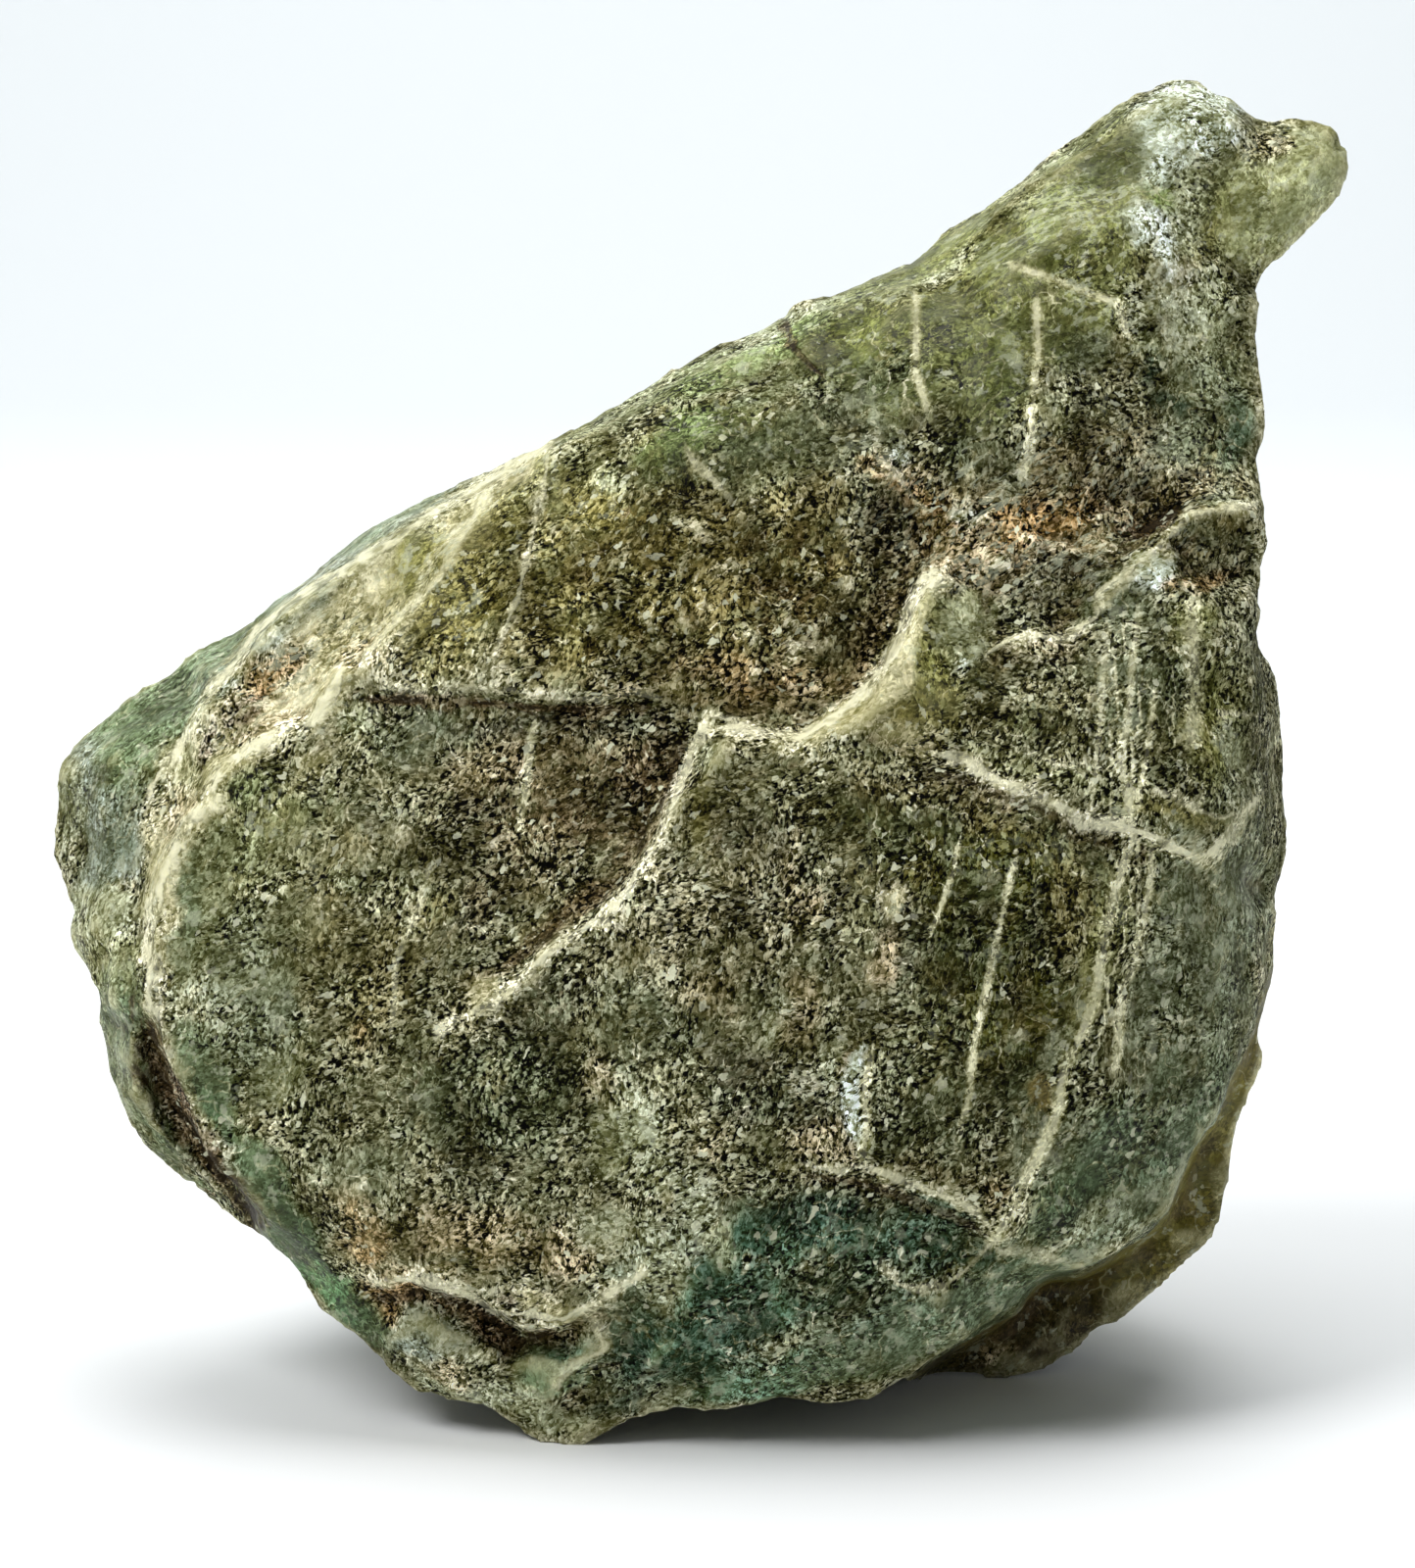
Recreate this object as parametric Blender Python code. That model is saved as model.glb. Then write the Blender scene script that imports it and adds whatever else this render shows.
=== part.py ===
"""A raw lump of green aventurine, broken from the rock and standing on its own broken edge.

The stone is one solid. It is drawn as it is seen from the front, on squared paper: each point of a ridge, a
ledge or an edge has its place across and up the paper, in squares, and how far it stands out towards the
viewer, in millimetres. The front and the back are two such drawings that share one outline.
"""

import math

import bmesh
import bpy
from mathutils import Vector, noise
from mathutils.geometry import delaunay_2d_cdt

for leftover in list(bpy.data.objects):
    bpy.data.objects.remove(leftover, do_unlink=True)

# Driving dimensions, in metres: a square of the paper, the viewer's distance, and the height of the point
# that the viewer looks at, which is SIGHT_ACROSS squares right of the paper's middle
SQUARE = 0.0085
VIEW_DISTANCE = 0.400
VIEW_PITCH = math.radians(10)
SIGHT_HEIGHT = 0.0538
SIGHT_ACROSS = 0.22
MM = 0.001

# The broken surface: each grain is (size of a lump in metres, height in metres, how it is shaped)
BROKEN_GRAIN = (
    (0.018, 0.0006, "soft"),
    (0.009, 0.0003, "scalloped"),
    (0.0045, 0.00018, "soft"),
)

# How finely the grain is worked out, and how many facets are kept of it
FINE_CELL = 0.0006
KEPT_FACETS = 9600
SMALLEST_EDGE = 0.00002
FLOOR_TOLERANCE = 1e-6
SHARP_ANGLE = math.radians(30)

# The edge of the stone against what is behind it, clockwise from the top of the horn
OUTLINE = (
    # the two lobes of the horn and the thin tongue beside them
    (5.00, 7.18, -6), (5.25, 7.18, -6), (5.38, 7.03, -6), (5.58, 7.00, -6), (5.75, 6.78, -6),
    (5.92, 6.72, -5), (6.18, 6.82, -5), (6.52, 6.92, -5), (6.70, 6.74, -5), (6.79, 6.46, -5),
    (6.81, 6.24, -4.5), (6.64, 5.92, -4), (6.28, 5.57, -3), (5.99, 5.33, -2), (5.81, 5.13, -1),
    # the upright right edge
    (5.86, 4.95, 1.5), (5.84, 4.50, 3), (5.90, 4.30, 3.5), (5.91, 3.70, 5.5), (5.85, 3.30, 6.5),
    (5.89, 2.85, 8), (5.89, 2.40, 9.5), (5.86, 2.00, 10.5), (5.91, 1.55, 9), (6.01, 1.20, 4),
    (6.06, 0.85, 2), (6.11, 0.52, 1), (6.08, 0.10, 0), (6.11, -0.50, 0), (6.05, -0.85, -1),
    (5.98, -1.05, -1), (6.03, -1.45, -3), (6.07, -1.75, -4), (6.02, -2.00, -5), (5.90, -2.35, -6),
    (5.86, -2.55, -6), (5.90, -2.80, -7), (5.83, -3.10, -7), (5.68, -3.50, -8), (5.60, -3.90, -8),
    # the rear lump, down to the rear foot
    (5.50, -4.55, -10), (5.36, -4.72, -11), (5.00, -4.97, -12), (4.50, -5.40, -12), (4.20, -5.60, -12),
    (4.02, -5.85, -11), (3.60, -6.08, -10), (3.00, -6.12, -10), (2.36, -6.13, -9.5),
    # the hanging lower edge and the front foot
    (2.15, -6.11, 9), (1.90, -6.22, 10), (1.50, -6.33, 10), (0.90, -6.32, 10), (0.45, -6.40, 9.5),
    (-0.10, -6.43, 9.5), (-0.60, -6.55, 9), (-0.95, -6.68, 8.5), (-1.10, -6.82, 8), (-1.30, -6.82, 8),
    (-1.55, -6.72, 7.5), (-1.80, -6.50, 7), (-2.05, -6.35, 6.5), (-2.35, -6.30, 6), (-2.70, -6.12, 5),
    # the lower left edge
    (-3.00, -5.93, 4.5), (-3.25, -5.70, 4), (-3.60, -5.47, 3.5), (-3.80, -5.30, 3), (-4.00, -5.03, 2.5),
    (-4.25, -4.75, 2), (-4.50, -4.53, -1), (-4.75, -4.32, -4), (-5.00, -4.13, -5), (-5.30, -3.93, -5),
    (-5.50, -3.75, -5), (-5.65, -3.52, -5), (-5.78, -3.25, -5), (-5.87, -2.95, -5), (-5.95, -2.60, -5),
    (-6.02, -2.35, -5), (-5.97, -2.20, -4.5), (-6.10, -1.90, -4.5), (-6.25, -1.65, -4.5), (-6.32, -1.50, -5),
    (-6.22, -1.32, -5), (-6.35, -1.05, -6), (-6.45, -0.75, -7), (-6.42, -0.40, -8), (-6.34, -0.12, -8),
    # the long upper left edge
    (-6.33, 0.15, -8), (-6.20, 0.35, -9), (-5.95, 0.65, -9), (-5.55, 1.00, -9), (-5.25, 1.12, -9),
    (-5.10, 1.30, -9), (-4.75, 1.52, -9), (-4.40, 1.75, -8), (-4.00, 2.02, -8), (-3.75, 2.22, -8),
    (-3.35, 2.50, -7), (-2.90, 2.78, -6), (-2.45, 3.02, -5), (-2.00, 3.22, -4), (-1.55, 3.40, -2),
    (-1.35, 3.52, 0), (-1.00, 3.73, 0), (-0.50, 4.00, -1), (-0.05, 4.27, -2), (0.30, 4.45, -2),
    (0.75, 4.63, -2), (1.03, 4.75, -2), (1.12, 4.93, -1), (1.40, 5.02, -2), (1.85, 5.20, -3),
    (2.30, 5.38, -4), (2.55, 5.60, -4), (2.85, 5.78, -5), (3.10, 5.95, -5), (3.50, 6.28, -5),
    (3.90, 6.52, -6), (4.30, 6.78, -6), (4.65, 7.02, -6),
)

# Ridges, ledges and troughs of the front. A ledge is two lines: its edge, and the foot of its wall.
FRONT_LINES = {
    "flank_crest": (
        (-1.40, 3.43, 6), (-1.80, 3.16, 5.5), (-2.30, 2.88, 5.6), (-2.80, 2.62, 5.6), (-3.20, 2.36, 5.6),
        (-3.55, 2.10, 5.4), (-4.00, 1.80, 5.2), (-4.35, 1.50, 5.2), (-4.60, 1.10, 5.0), (-4.85, 0.70, 4.8),
        (-5.10, 0.20, 4.6), (-5.40, -0.30, 4.2), (-5.50, -0.80, 3.8), (-5.54, -1.22, 3.4),
    ),
    "band_trough": (
        (-2.10, 2.82, 7), (-2.58, 2.38, 8.2), (-2.90, 1.95, 8.6), (-3.20, 1.60, 8.4), (-3.60, 1.40, 7.5),
        (-3.95, 0.80, 7.5), (-4.40, 0.66, 7.5), (-4.75, 0.32, 7.2), (-5.00, -0.10, 6.8), (-5.25, -0.48, 6.2),
        (-5.46, -0.90, 5.2), (-5.54, -1.50, 5.0),
    ),
    "plate_edge": (
        (-1.42, 3.30, 7.5), (-2.00, 2.74, 9.5), (-2.36, 2.48, 10.5), (-2.50, 2.10, 11.5), (-2.80, 1.75, 12),
        (-3.05, 1.45, 12), (-3.28, 1.18, 12), (-3.48, 1.04, 11.3), (-3.57, 1.16, 11.5), (-3.75, 0.80, 12),
        (-3.85, 0.55, 12), (-4.15, 0.48, 11.5), (-4.38, 0.42, 11.5), (-4.60, 0.18, 11), (-4.78, 0.04, 11),
        (-4.85, -0.30, 10.7), (-5.05, -0.38, 10.2), (-5.20, -0.62, 9.8), (-5.35, -0.95, 9.5),
        (-5.43, -1.50, 9.5), (-5.46, -2.00, 9.3), (-5.43, -2.30, 9.3),
        (-5.35, -2.55, 9.6), (-5.20, -2.85, 10), (-5.08, -3.15, 10.5), (-4.97, -3.45, 11), (-4.82, -3.75, 11),
        (-4.60, -4.05, 11), (-4.42, -4.30, 10.5), (-4.30, -4.52, 8),
    ),
    "left_ledge": ((-6.12, -1.22, -1), (-5.90, -1.10, 2), (-5.70, -1.18, 3.2), (-5.54, -1.30, 4)),
    "left_ledge_foot": ((-6.14, -1.12, -3), (-5.90, -1.00, 0.5), (-5.72, -1.08, 1.2)),
    "crevice_lip": (
        (-5.58, -2.42, 5.0), (-5.62, -2.70, 4.2), (-5.58, -3.05, 3), (-5.42, -3.45, 2),
        (-5.20, -3.74, 1.2), (-4.92, -4.00, 0.5), (-4.62, -4.26, 0), (-4.47, -4.50, 0.5),
    ),
    "crevice_floor": (
        (-5.50, -2.46, 3), (-5.50, -2.72, 1), (-5.44, -3.02, -1), (-5.30, -3.36, -2), (-5.12, -3.64, -2.5),
        (-4.88, -3.90, -2.5), (-4.62, -4.16, -2.5), (-4.46, -4.38, -1.5),
    ),
    "crevice_wall": (
        (-5.43, -2.52, 3.5), (-5.36, -2.75, 2), (-5.26, -3.02, 1), (-5.14, -3.27, 0), (-5.02, -3.54, 0),
        (-4.84, -3.84, 0), (-4.60, -4.10, 0), (-4.42, -4.34, 1),
    ),
    "facet_ridge": ((-1.42, 3.28, 8.5), (-1.55, 2.60, 12.2), (-1.68, 1.80, 14.9), (-1.85, 0.99, 16.4)),
    "shelf_edge": (
        (-3.25, 1.08, 12.4), (-3.00, 0.96, 13.2), (-2.60, 0.93, 14.4), (-2.20, 0.95, 15.6),
        (-1.85, 0.91, 16.4), (-1.40, 0.86, 16.5), (-1.00, 0.90, 16.4), (-0.60, 0.94, 16.4),
        (-0.20, 0.96, 16.2), (0.10, 0.89, 16.0),
    ),
    "shelf_foot": (
        (-3.00, 0.88, 12.2), (-2.60, 0.85, 13.2), (-2.20, 0.87, 14.2), (-1.82, 0.83, 15.0),
        (-1.40, 0.78, 15.2), (-1.00, 0.82, 15.2), (-0.60, 0.86, 15.2), (-0.20, 0.87, 15.2),
        (0.08, 0.78, 15.4),
    ),
    "rib_edge": (
        (-2.32, -2.48, 17.0), (-2.00, -2.35, 17.8), (-1.75, -2.15, 18.4), (-1.55, -1.90, 18.7),
        (-1.40, -1.70, 19.0), (-1.00, -1.50, 19.3), (-0.85, -1.32, 19.5), (-0.60, -1.05, 19.7),
        (-0.43, -0.78, 19.8), (-0.22, -0.55, 20.0), (0.00, -0.10, 20.0), (0.25, 0.15, 20.2),
        (0.40, 0.40, 20.3), (0.60, 0.48, 20.0), (1.00, 0.43, 19.8), (1.17, 0.37, 19.6),
        (1.50, 0.52, 20.2), (1.85, 0.73, 20.6), (2.00, 1.03, 20.6), (2.20, 1.35, 20.0),
        (2.32, 1.65, 19.5), (2.42, 1.95, 18.5), (2.52, 2.12, 17.5),
    ),
    "rib_foot": (
        (-2.47, -2.42, 16.6), (-2.30, -2.30, 16.4), (-2.05, -2.03, 16.3), (-1.65, -1.78, 16.2),
        (-1.40, -1.53, 16.2), (-1.03, -1.30, 16.2), (-0.80, -1.05, 16.1), (-0.60, -0.80, 16.0),
        (-0.40, -0.50, 15.8), (-0.32, -0.22, 15.6), (-0.10, 0.03, 15.4), (0.03, 0.30, 15.2),
        (0.12, 0.62, 15.3), (0.25, 0.77, 15.7), (0.45, 0.65, 15.8), (0.80, 0.65, 15.6), (1.18, 0.56, 15.2),
        (1.55, 0.85, 14.6), (1.80, 1.05, 14.0), (1.95, 1.25, 13.5), (2.05, 1.50, 13.2),
        (2.15, 1.80, 13.0), (2.28, 2.05, 13.0), (2.44, 2.36, 13.0),
    ),
    "seam_top": (
        (1.28, 0.37, 19.2), (1.50, 0.36, 19.5), (1.90, 0.38, 19.8), (2.30, 0.28, 20.1), (3.00, 0.18, 20.3),
        (3.40, 0.04, 20.3), (3.80, -0.15, 20.1), (4.12, -0.34, 19.8), (4.50, -0.46, 19.2),
        (4.90, -0.58, 18.2), (5.15, -0.73, 17.2), (5.38, -0.73, 15.8), (5.52, -0.52, 14.2),
        (5.75, -0.25, 12.0), (5.88, -0.05, 9.5),
    ),
    "seam_foot": (
        (1.50, 0.25, 20.4), (1.90, 0.27, 20.7), (2.30, 0.16, 21.0), (3.00, 0.06, 21.2), (3.38, -0.09, 20.9),
        (3.78, -0.28, 20.4), (4.10, -0.44, 19.4), (4.50, -0.56, 18.0), (4.88, -0.68, 16.6),
        (5.12, -0.84, 15.2), (5.42, -0.83, 13.6), (5.60, -0.58, 11.8), (5.85, -0.33, 8.6),
    ),
    "panel_facet": (
        (4.02, 0.24, 20.4), (4.16, -0.02, 20.6), (4.80, -0.10, 19.4), (5.30, -0.36, 17.2), (5.58, -0.26, 15),
    ),
    "panel_top_edge": (
        (2.75, 2.00, 16.8), (3.00, 1.62, 17.2), (3.15, 1.32, 17.8), (3.50, 1.52, 17.6), (3.85, 1.48, 17.4),
        (4.12, 1.68, 17.0), (4.30, 1.95, 16.6), (4.50, 2.20, 16.0), (4.70, 2.45, 15.5), (4.95, 2.68, 15.0),
        (5.12, 2.83, 14.5), (5.45, 2.78, 13.5), (5.76, 2.78, 12),
    ),
    "panel_top_foot": (
        (2.70, 2.18, 13.8), (3.04, 1.84, 15.0), (3.20, 1.46, 16.2), (3.48, 1.61, 16.2), (3.80, 1.58, 16.0),
        (4.05, 1.77, 15.2), (4.22, 2.03, 14.6), (4.42, 2.29, 13.6), (4.61, 2.56, 12.2), (4.84, 2.82, 10.8),
        (5.05, 2.98, 11.0), (5.45, 2.92, 10.8), (5.74, 2.93, 10.2),
    ),
    "panel_hollow_edge": (
        (4.86, 2.42, 15.4), (5.02, 2.12, 15.8), (5.35, 1.94, 15.2), (5.70, 1.98, 13),
    ),
    "panel_hollow_floor": ((5.00, 2.38, 13.4), (5.14, 2.20, 13.2), (5.40, 2.08, 12.4), (5.66, 2.14, 10.4)),
    "panel_right_bend": ((5.70, 1.60, 13.2), (5.78, 1.00, 12.6), (5.80, 0.40, 12.2), (5.82, 0.10, 11)),
    "top_bend": (
        (-1.10, 3.52, 8.5), (-0.50, 3.78, 8), (0.00, 4.02, 7), (0.50, 4.30, 6), (1.00, 4.50, 6),
        (1.45, 4.80, 5.5), (1.95, 5.00, 5), (2.45, 5.22, 4.5), (2.90, 5.58, 3), (3.40, 6.02, 2),
        (3.95, 6.36, 1), (4.50, 6.74, 0), (4.95, 6.96, -1.5), (5.30, 6.88, -1.5), (5.60, 6.72, -1.5),
    ),
    "horn_ledge": (
        (3.34, 5.28, 8.2), (3.60, 5.17, 8.0), (3.95, 5.04, 7.8), (4.30, 4.98, 7.4), (4.60, 4.90, 7.0),
    ),
    "horn_ledge_foot": ((3.58, 5.10, 8.8), (3.94, 4.96, 8.6), (4.28, 4.90, 8.2)),
    "horn_scar": ((1.12, 4.48, 7.0), (1.16, 4.38, 8.0), (1.30, 4.22, 9.0), (1.55, 4.05, 10)),
    "horn_scar_foot": ((1.02, 4.46, 5.4), (1.08, 4.33, 6.6), (1.22, 4.14, 8.0)),
    "tongue_root": ((5.84, 6.52, -2.2), (5.80, 6.10, -1), (5.66, 5.70, 0), (5.50, 5.30, 1.6)),
    "tongue_foot": ((6.00, 6.48, -3), (5.98, 6.05, -2), (5.82, 5.62, -1)),
    "blotch_step": ((1.95, 3.45, 13.0), (2.05, 3.10, 13.3), (2.45, 2.86, 13.6), (2.85, 2.66, 13.9)),
    "blotch_step_foot": ((1.86, 3.38, 12.6), (1.95, 3.02, 12.8), (2.38, 2.76, 13.0), (2.74, 2.56, 13.4)),
    "low_ledge": (
        (1.00, -3.95, 20.4), (1.60, -3.93, 20.4), (1.80, -3.87, 20.2), (2.00, -4.02, 19.8),
        (2.50, -4.14, 19.4), (2.95, -4.40, 18.4), (3.12, -4.54, 17.8),
    ),
    "low_ledge_foot": (
        (1.00, -4.02, 19.6), (1.60, -4.01, 19.0), (1.82, -3.95, 18.8), (1.98, -4.10, 18.4),
        (2.46, -4.23, 18.0), (2.90, -4.48, 17.2),
    ),
    "scar_rim": (
        (2.05, -4.55, 17.6), (2.00, -4.98, 16.8), (2.25, -5.20, 15.8), (2.60, -5.30, 15.2),
        (2.95, -5.06, 15.2), (3.20, -4.78, 15.4),
    ),
    "low_bend": ((3.50, -4.92, 14.4), (4.00, -4.80, 13.2), (4.28, -4.68, 12.4), (4.60, -4.30, 12.4)),
    "rim": (
        (5.95, -1.30, 4), (5.88, -2.00, 7.5), (5.75, -2.40, 9), (5.62, -2.75, 9.6), (5.48, -3.05, 10.2),
        (5.40, -3.35, 10.4), (5.13, -3.70, 11), (5.00, -4.00, 11), (4.88, -4.32, 11), (4.65, -4.55, 11.4),
        (4.45, -4.68, 11.6), (4.25, -4.82, 11.8), (4.00, -4.97, 11.8), (3.70, -5.00, 12), (3.50, -5.10, 11.8),
        (3.35, -5.35, 10.5), (3.00, -5.60, 10.5), (2.60, -5.82, 10.5), (2.30, -6.00, 10.2),
    ),
    "rim_foot": (
        (5.96, -2.03, -3), (5.83, -2.44, -4), (5.70, -2.80, -5), (5.55, -3.10, -6), (5.47, -3.40, -7),
        (5.20, -3.76, -8), (5.07, -4.05, -9), (4.94, -4.37, -10), (4.69, -4.62, -10), (4.48, -4.75, -10.5),
        (4.28, -4.89, -11), (4.02, -5.04, -11), (3.72, -5.07, -11), (3.55, -5.17, -11), (3.40, -5.41, -11),
        (3.04, -5.67, -11), (2.64, -5.89, -10.5), (2.38, -6.04, -10),
    ),
    "hollow_lip": (
        (-3.15, -5.08, 11), (-3.00, -5.14, 12), (-2.80, -4.98, 13), (-2.68, -5.06, 13.3),
        (-2.40, -5.16, 13.8), (-2.12, -5.19, 14), (-1.95, -5.30, 14), (-1.80, -5.47, 14),
        (-1.60, -5.55, 14), (-1.37, -5.55, 14), (-1.20, -5.45, 14.3), (-1.08, -5.35, 14.6),
        (-0.75, -5.30, 15.5), (-0.60, -5.15, 16.3), (-0.45, -5.02, 17),
    ),
    "hollow_foot": (
        (-3.17, -5.15, 8.6), (-3.00, -5.21, 8.6), (-2.80, -5.06, 9.0), (-2.68, -5.14, 9.2),
        (-2.42, -5.23, 9.0), (-2.14, -5.26, 8.4), (-2.00, -5.36, 7.4), (-1.83, -5.54, 6.8),
        (-1.62, -5.62, 6.8), (-1.36, -5.62, 8.0), (-1.17, -5.52, 9.8), (-1.05, -5.42, 11.2),
        (-0.74, -5.37, 13.4), (-0.57, -5.21, 15.2),
    ),
    "shell_edge": (
        (-0.98, -5.54, 12.4), (-0.78, -5.74, 12.8), (-1.00, -5.84, 12.2), (-1.18, -5.95, 11.5),
        (-1.30, -6.12, 10.8), (-1.38, -6.36, 9.4),
    ),
    "shell_foot": (
        (-0.70, -5.80, 11.6), (-0.95, -5.92, 10.6), (-1.11, -6.03, 9.9), (-1.23, -6.18, 9.3),
        (-1.30, -6.40, 8.6),
    ),
}

# Single heights of the front, between those lines
FRONT_SPOTS = (
    # the grey flank and the left lump
    (-5.95, -0.30, 0), (-5.80, 0.30, -0.5), (-5.30, 0.70, 0), (-4.90, 1.20, -0.5), (-5.85, -0.75, 0.5),
    (-6.05, -1.50, 1.5), (-5.80, -1.70, 4.5), (-5.85, -2.20, 3.5), (-5.65, -2.15, 5), (-5.75, -2.75, 2),
    (-5.70, -3.15, 1), (-5.50, -3.55, -1.5),
    # the shelf and the panel above it
    (-2.60, 1.50, 13), (-2.10, 1.90, 12.6), (-0.70, 1.60, 16.2), (0.40, 1.50, 15.8), (1.20, 1.30, 15.2),
    (-0.60, 2.60, 15.2), (0.40, 2.60, 15.4), (1.40, 2.20, 13.8), (1.95, 2.20, 12.8), (0.50, 3.60, 12),
    (-0.40, 3.30, 12.4), (1.40, 3.10, 13.2), (1.30, 3.80, 11),
    # the left plate
    (-3.90, -0.40, 13), (-3.00, 0.30, 13.8), (-2.90, -0.60, 15), (-2.00, 0.10, 15), (-1.10, 0.10, 15.2),
    (-1.60, -0.80, 15.8), (-4.60, -1.40, 11.8), (-3.60, -1.80, 14.4), (-4.60, -2.60, 12),
    (-3.60, -3.00, 14.6),
    (-2.60, -3.20, 16.4), (-4.10, -3.80, 12.6), (-3.20, -4.30, 14), (-4.00, -4.60, 9), (-3.55, -5.05, 7.5),
    # the raised slab
    (-1.20, -2.90, 19.0), (0.00, -1.60, 20.6), (1.50, -0.60, 20.8), (1.40, -2.40, 21.4), (0.30, -3.40, 20.6),
    (3.00, -1.20, 21.2), (3.00, -2.80, 20.8), (4.20, -1.60, 19.6), (4.20, -3.00, 17.8), (5.00, -1.40, 16.2),
    (5.20, -2.20, 14.2), (4.80, -3.40, 14.2), (3.80, -4.10, 16), (5.60, -1.30, 10.5), (5.90, -0.70, 6.5),
    (-1.60, -4.20, 17.4), (-2.20, -4.60, 15.6), (-0.60, -4.40, 18.6), (0.60, -4.90, 17.8),
    (1.40, -5.30, 16.6),
    (2.62, -4.85, 15.6), (-0.20, -5.70, 15), (1.00, -5.95, 14), (1.90, -5.85, 13.6), (2.70, -5.62, 12.8),
    # below the lip of the hollow
    (-2.70, -5.55, 10.2), (-2.95, -5.62, 8.6), (-2.20, -5.70, 10), (-1.80, -5.90, 9.6), (-1.45, -5.88, 11),
    (-1.75, -6.25, 8.6), (-2.40, -6.02, 8.6), (-0.50, -6.25, 11), (-1.00, -6.55, 9.4), (-1.45, -6.60, 8.6),
    # the panel, the rough recess over it and the horn
    (2.20, 0.90, 20.6), (3.00, 0.80, 20.6), (2.80, 1.40, 19), (4.00, 0.60, 19.6), (4.80, 0.90, 18),
    (4.60, 1.60, 17.2), (5.30, 0.30, 16.6), (5.35, 1.40, 16), (5.30, 2.52, 13.4), (2.95, 2.20, 14),
    (3.60, 2.20, 13.6), (3.40, 2.90, 13.4), (4.20, 3.00, 12), (4.80, 3.40, 10.2), (5.40, 3.40, 8.6),
    (3.00, 3.60, 13.2), (3.90, 3.80, 11.6), (2.40, 4.30, 11), (3.20, 4.60, 10.6), (4.30, 4.40, 9.2),
    (4.90, 4.10, 8.2), (5.40, 4.20, 6.2), (4.80, 4.75, 7), (2.20, 4.90, 8), (3.90, 5.60, 7),
    (4.60, 5.80, 4.4),
    (5.16, 5.60, 2.6), (4.90, 6.40, 0.8), (5.40, 6.20, -0.6), (6.42, 6.42, -2.6), (6.26, 6.06, -2.2),
    (5.55, 4.85, 3.4),
    # the rear lump
    (5.70, -3.00, -6), (5.40, -4.00, -7.5), (5.00, -4.60, -8.5), (4.40, -5.15, -9.5), (3.80, -5.60, -9.5),
    (3.30, -5.90, -9),
)

# Ridges and ledges of the back
BACK_LINES = {
    "spine": (
        (4.70, 5.60, -13), (3.90, 4.60, -17), (3.10, 3.40, -24), (2.40, 2.00, -32), (1.90, 0.60, -38),
        (1.20, -0.80, -41), (0.40, -2.20, -42), (-0.40, -3.60, -41), (-0.90, -4.70, -38),
    ),
    "back_ledge_edge": (
        (1.90, 0.30, -39), (3.00, 0.00, -36.5), (3.80, -0.50, -33), (4.50, -0.80, -28), (5.20, -0.90, -20),
    ),
    "back_ledge_foot": ((2.10, 0.60, -34.6), (3.00, 0.26, -32.8), (3.80, -0.22, -29.2), (4.50, -0.56, -24)),
    "crown_ledge_edge": ((2.60, 3.60, -19.5), (1.90, 3.40, -20), (1.20, 3.30, -19), (0.50, 3.10, -17.5)),
    "crown_ledge_foot": ((2.50, 3.80, -15.5), (1.85, 3.62, -15.5), (1.20, 3.50, -15), (0.55, 3.28, -14.5)),
    "low_step_edge": ((4.90, -2.60, -25), (4.20, -2.90, -30.5), (3.40, -2.70, -36.5), (2.70, -2.20, -38.5)),
    "low_step_foot": ((4.95, -2.90, -21), (4.25, -3.20, -26.5), (3.40, -3.02, -33), (2.62, -2.52, -36.5)),
    "left_fold": (
        (-0.40, 3.00, -14), (-1.50, 1.80, -22), (-2.60, 0.60, -27), (-3.30, -0.80, -28), (-3.60, -2.20, -26),
        (-3.40, -3.40, -22), (-2.80, -4.40, -20),
    ),
    "back_scar_edge": ((0.20, 1.60, -32), (-0.60, 0.40, -35), (-1.20, -0.80, -36), (-0.90, -1.90, -38)),
    "back_scar_foot": (
        (-0.05, 1.55, -28.6), (-0.86, 0.36, -31.4), (-1.50, -0.86, -32.6), (-1.20, -2.00, -35),
    ),
    "underside_edge": (
        (4.60, -4.70, -16), (3.60, -5.00, -24), (2.60, -5.00, -30), (1.40, -4.95, -36), (0.20, -5.02, -40),
        (-0.80, -5.20, -39.5), (-1.70, -5.12, -36), (-2.30, -5.05, -28), (-2.90, -5.00, -18),
        (-3.40, -4.95, -8),
    ),
}

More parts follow.
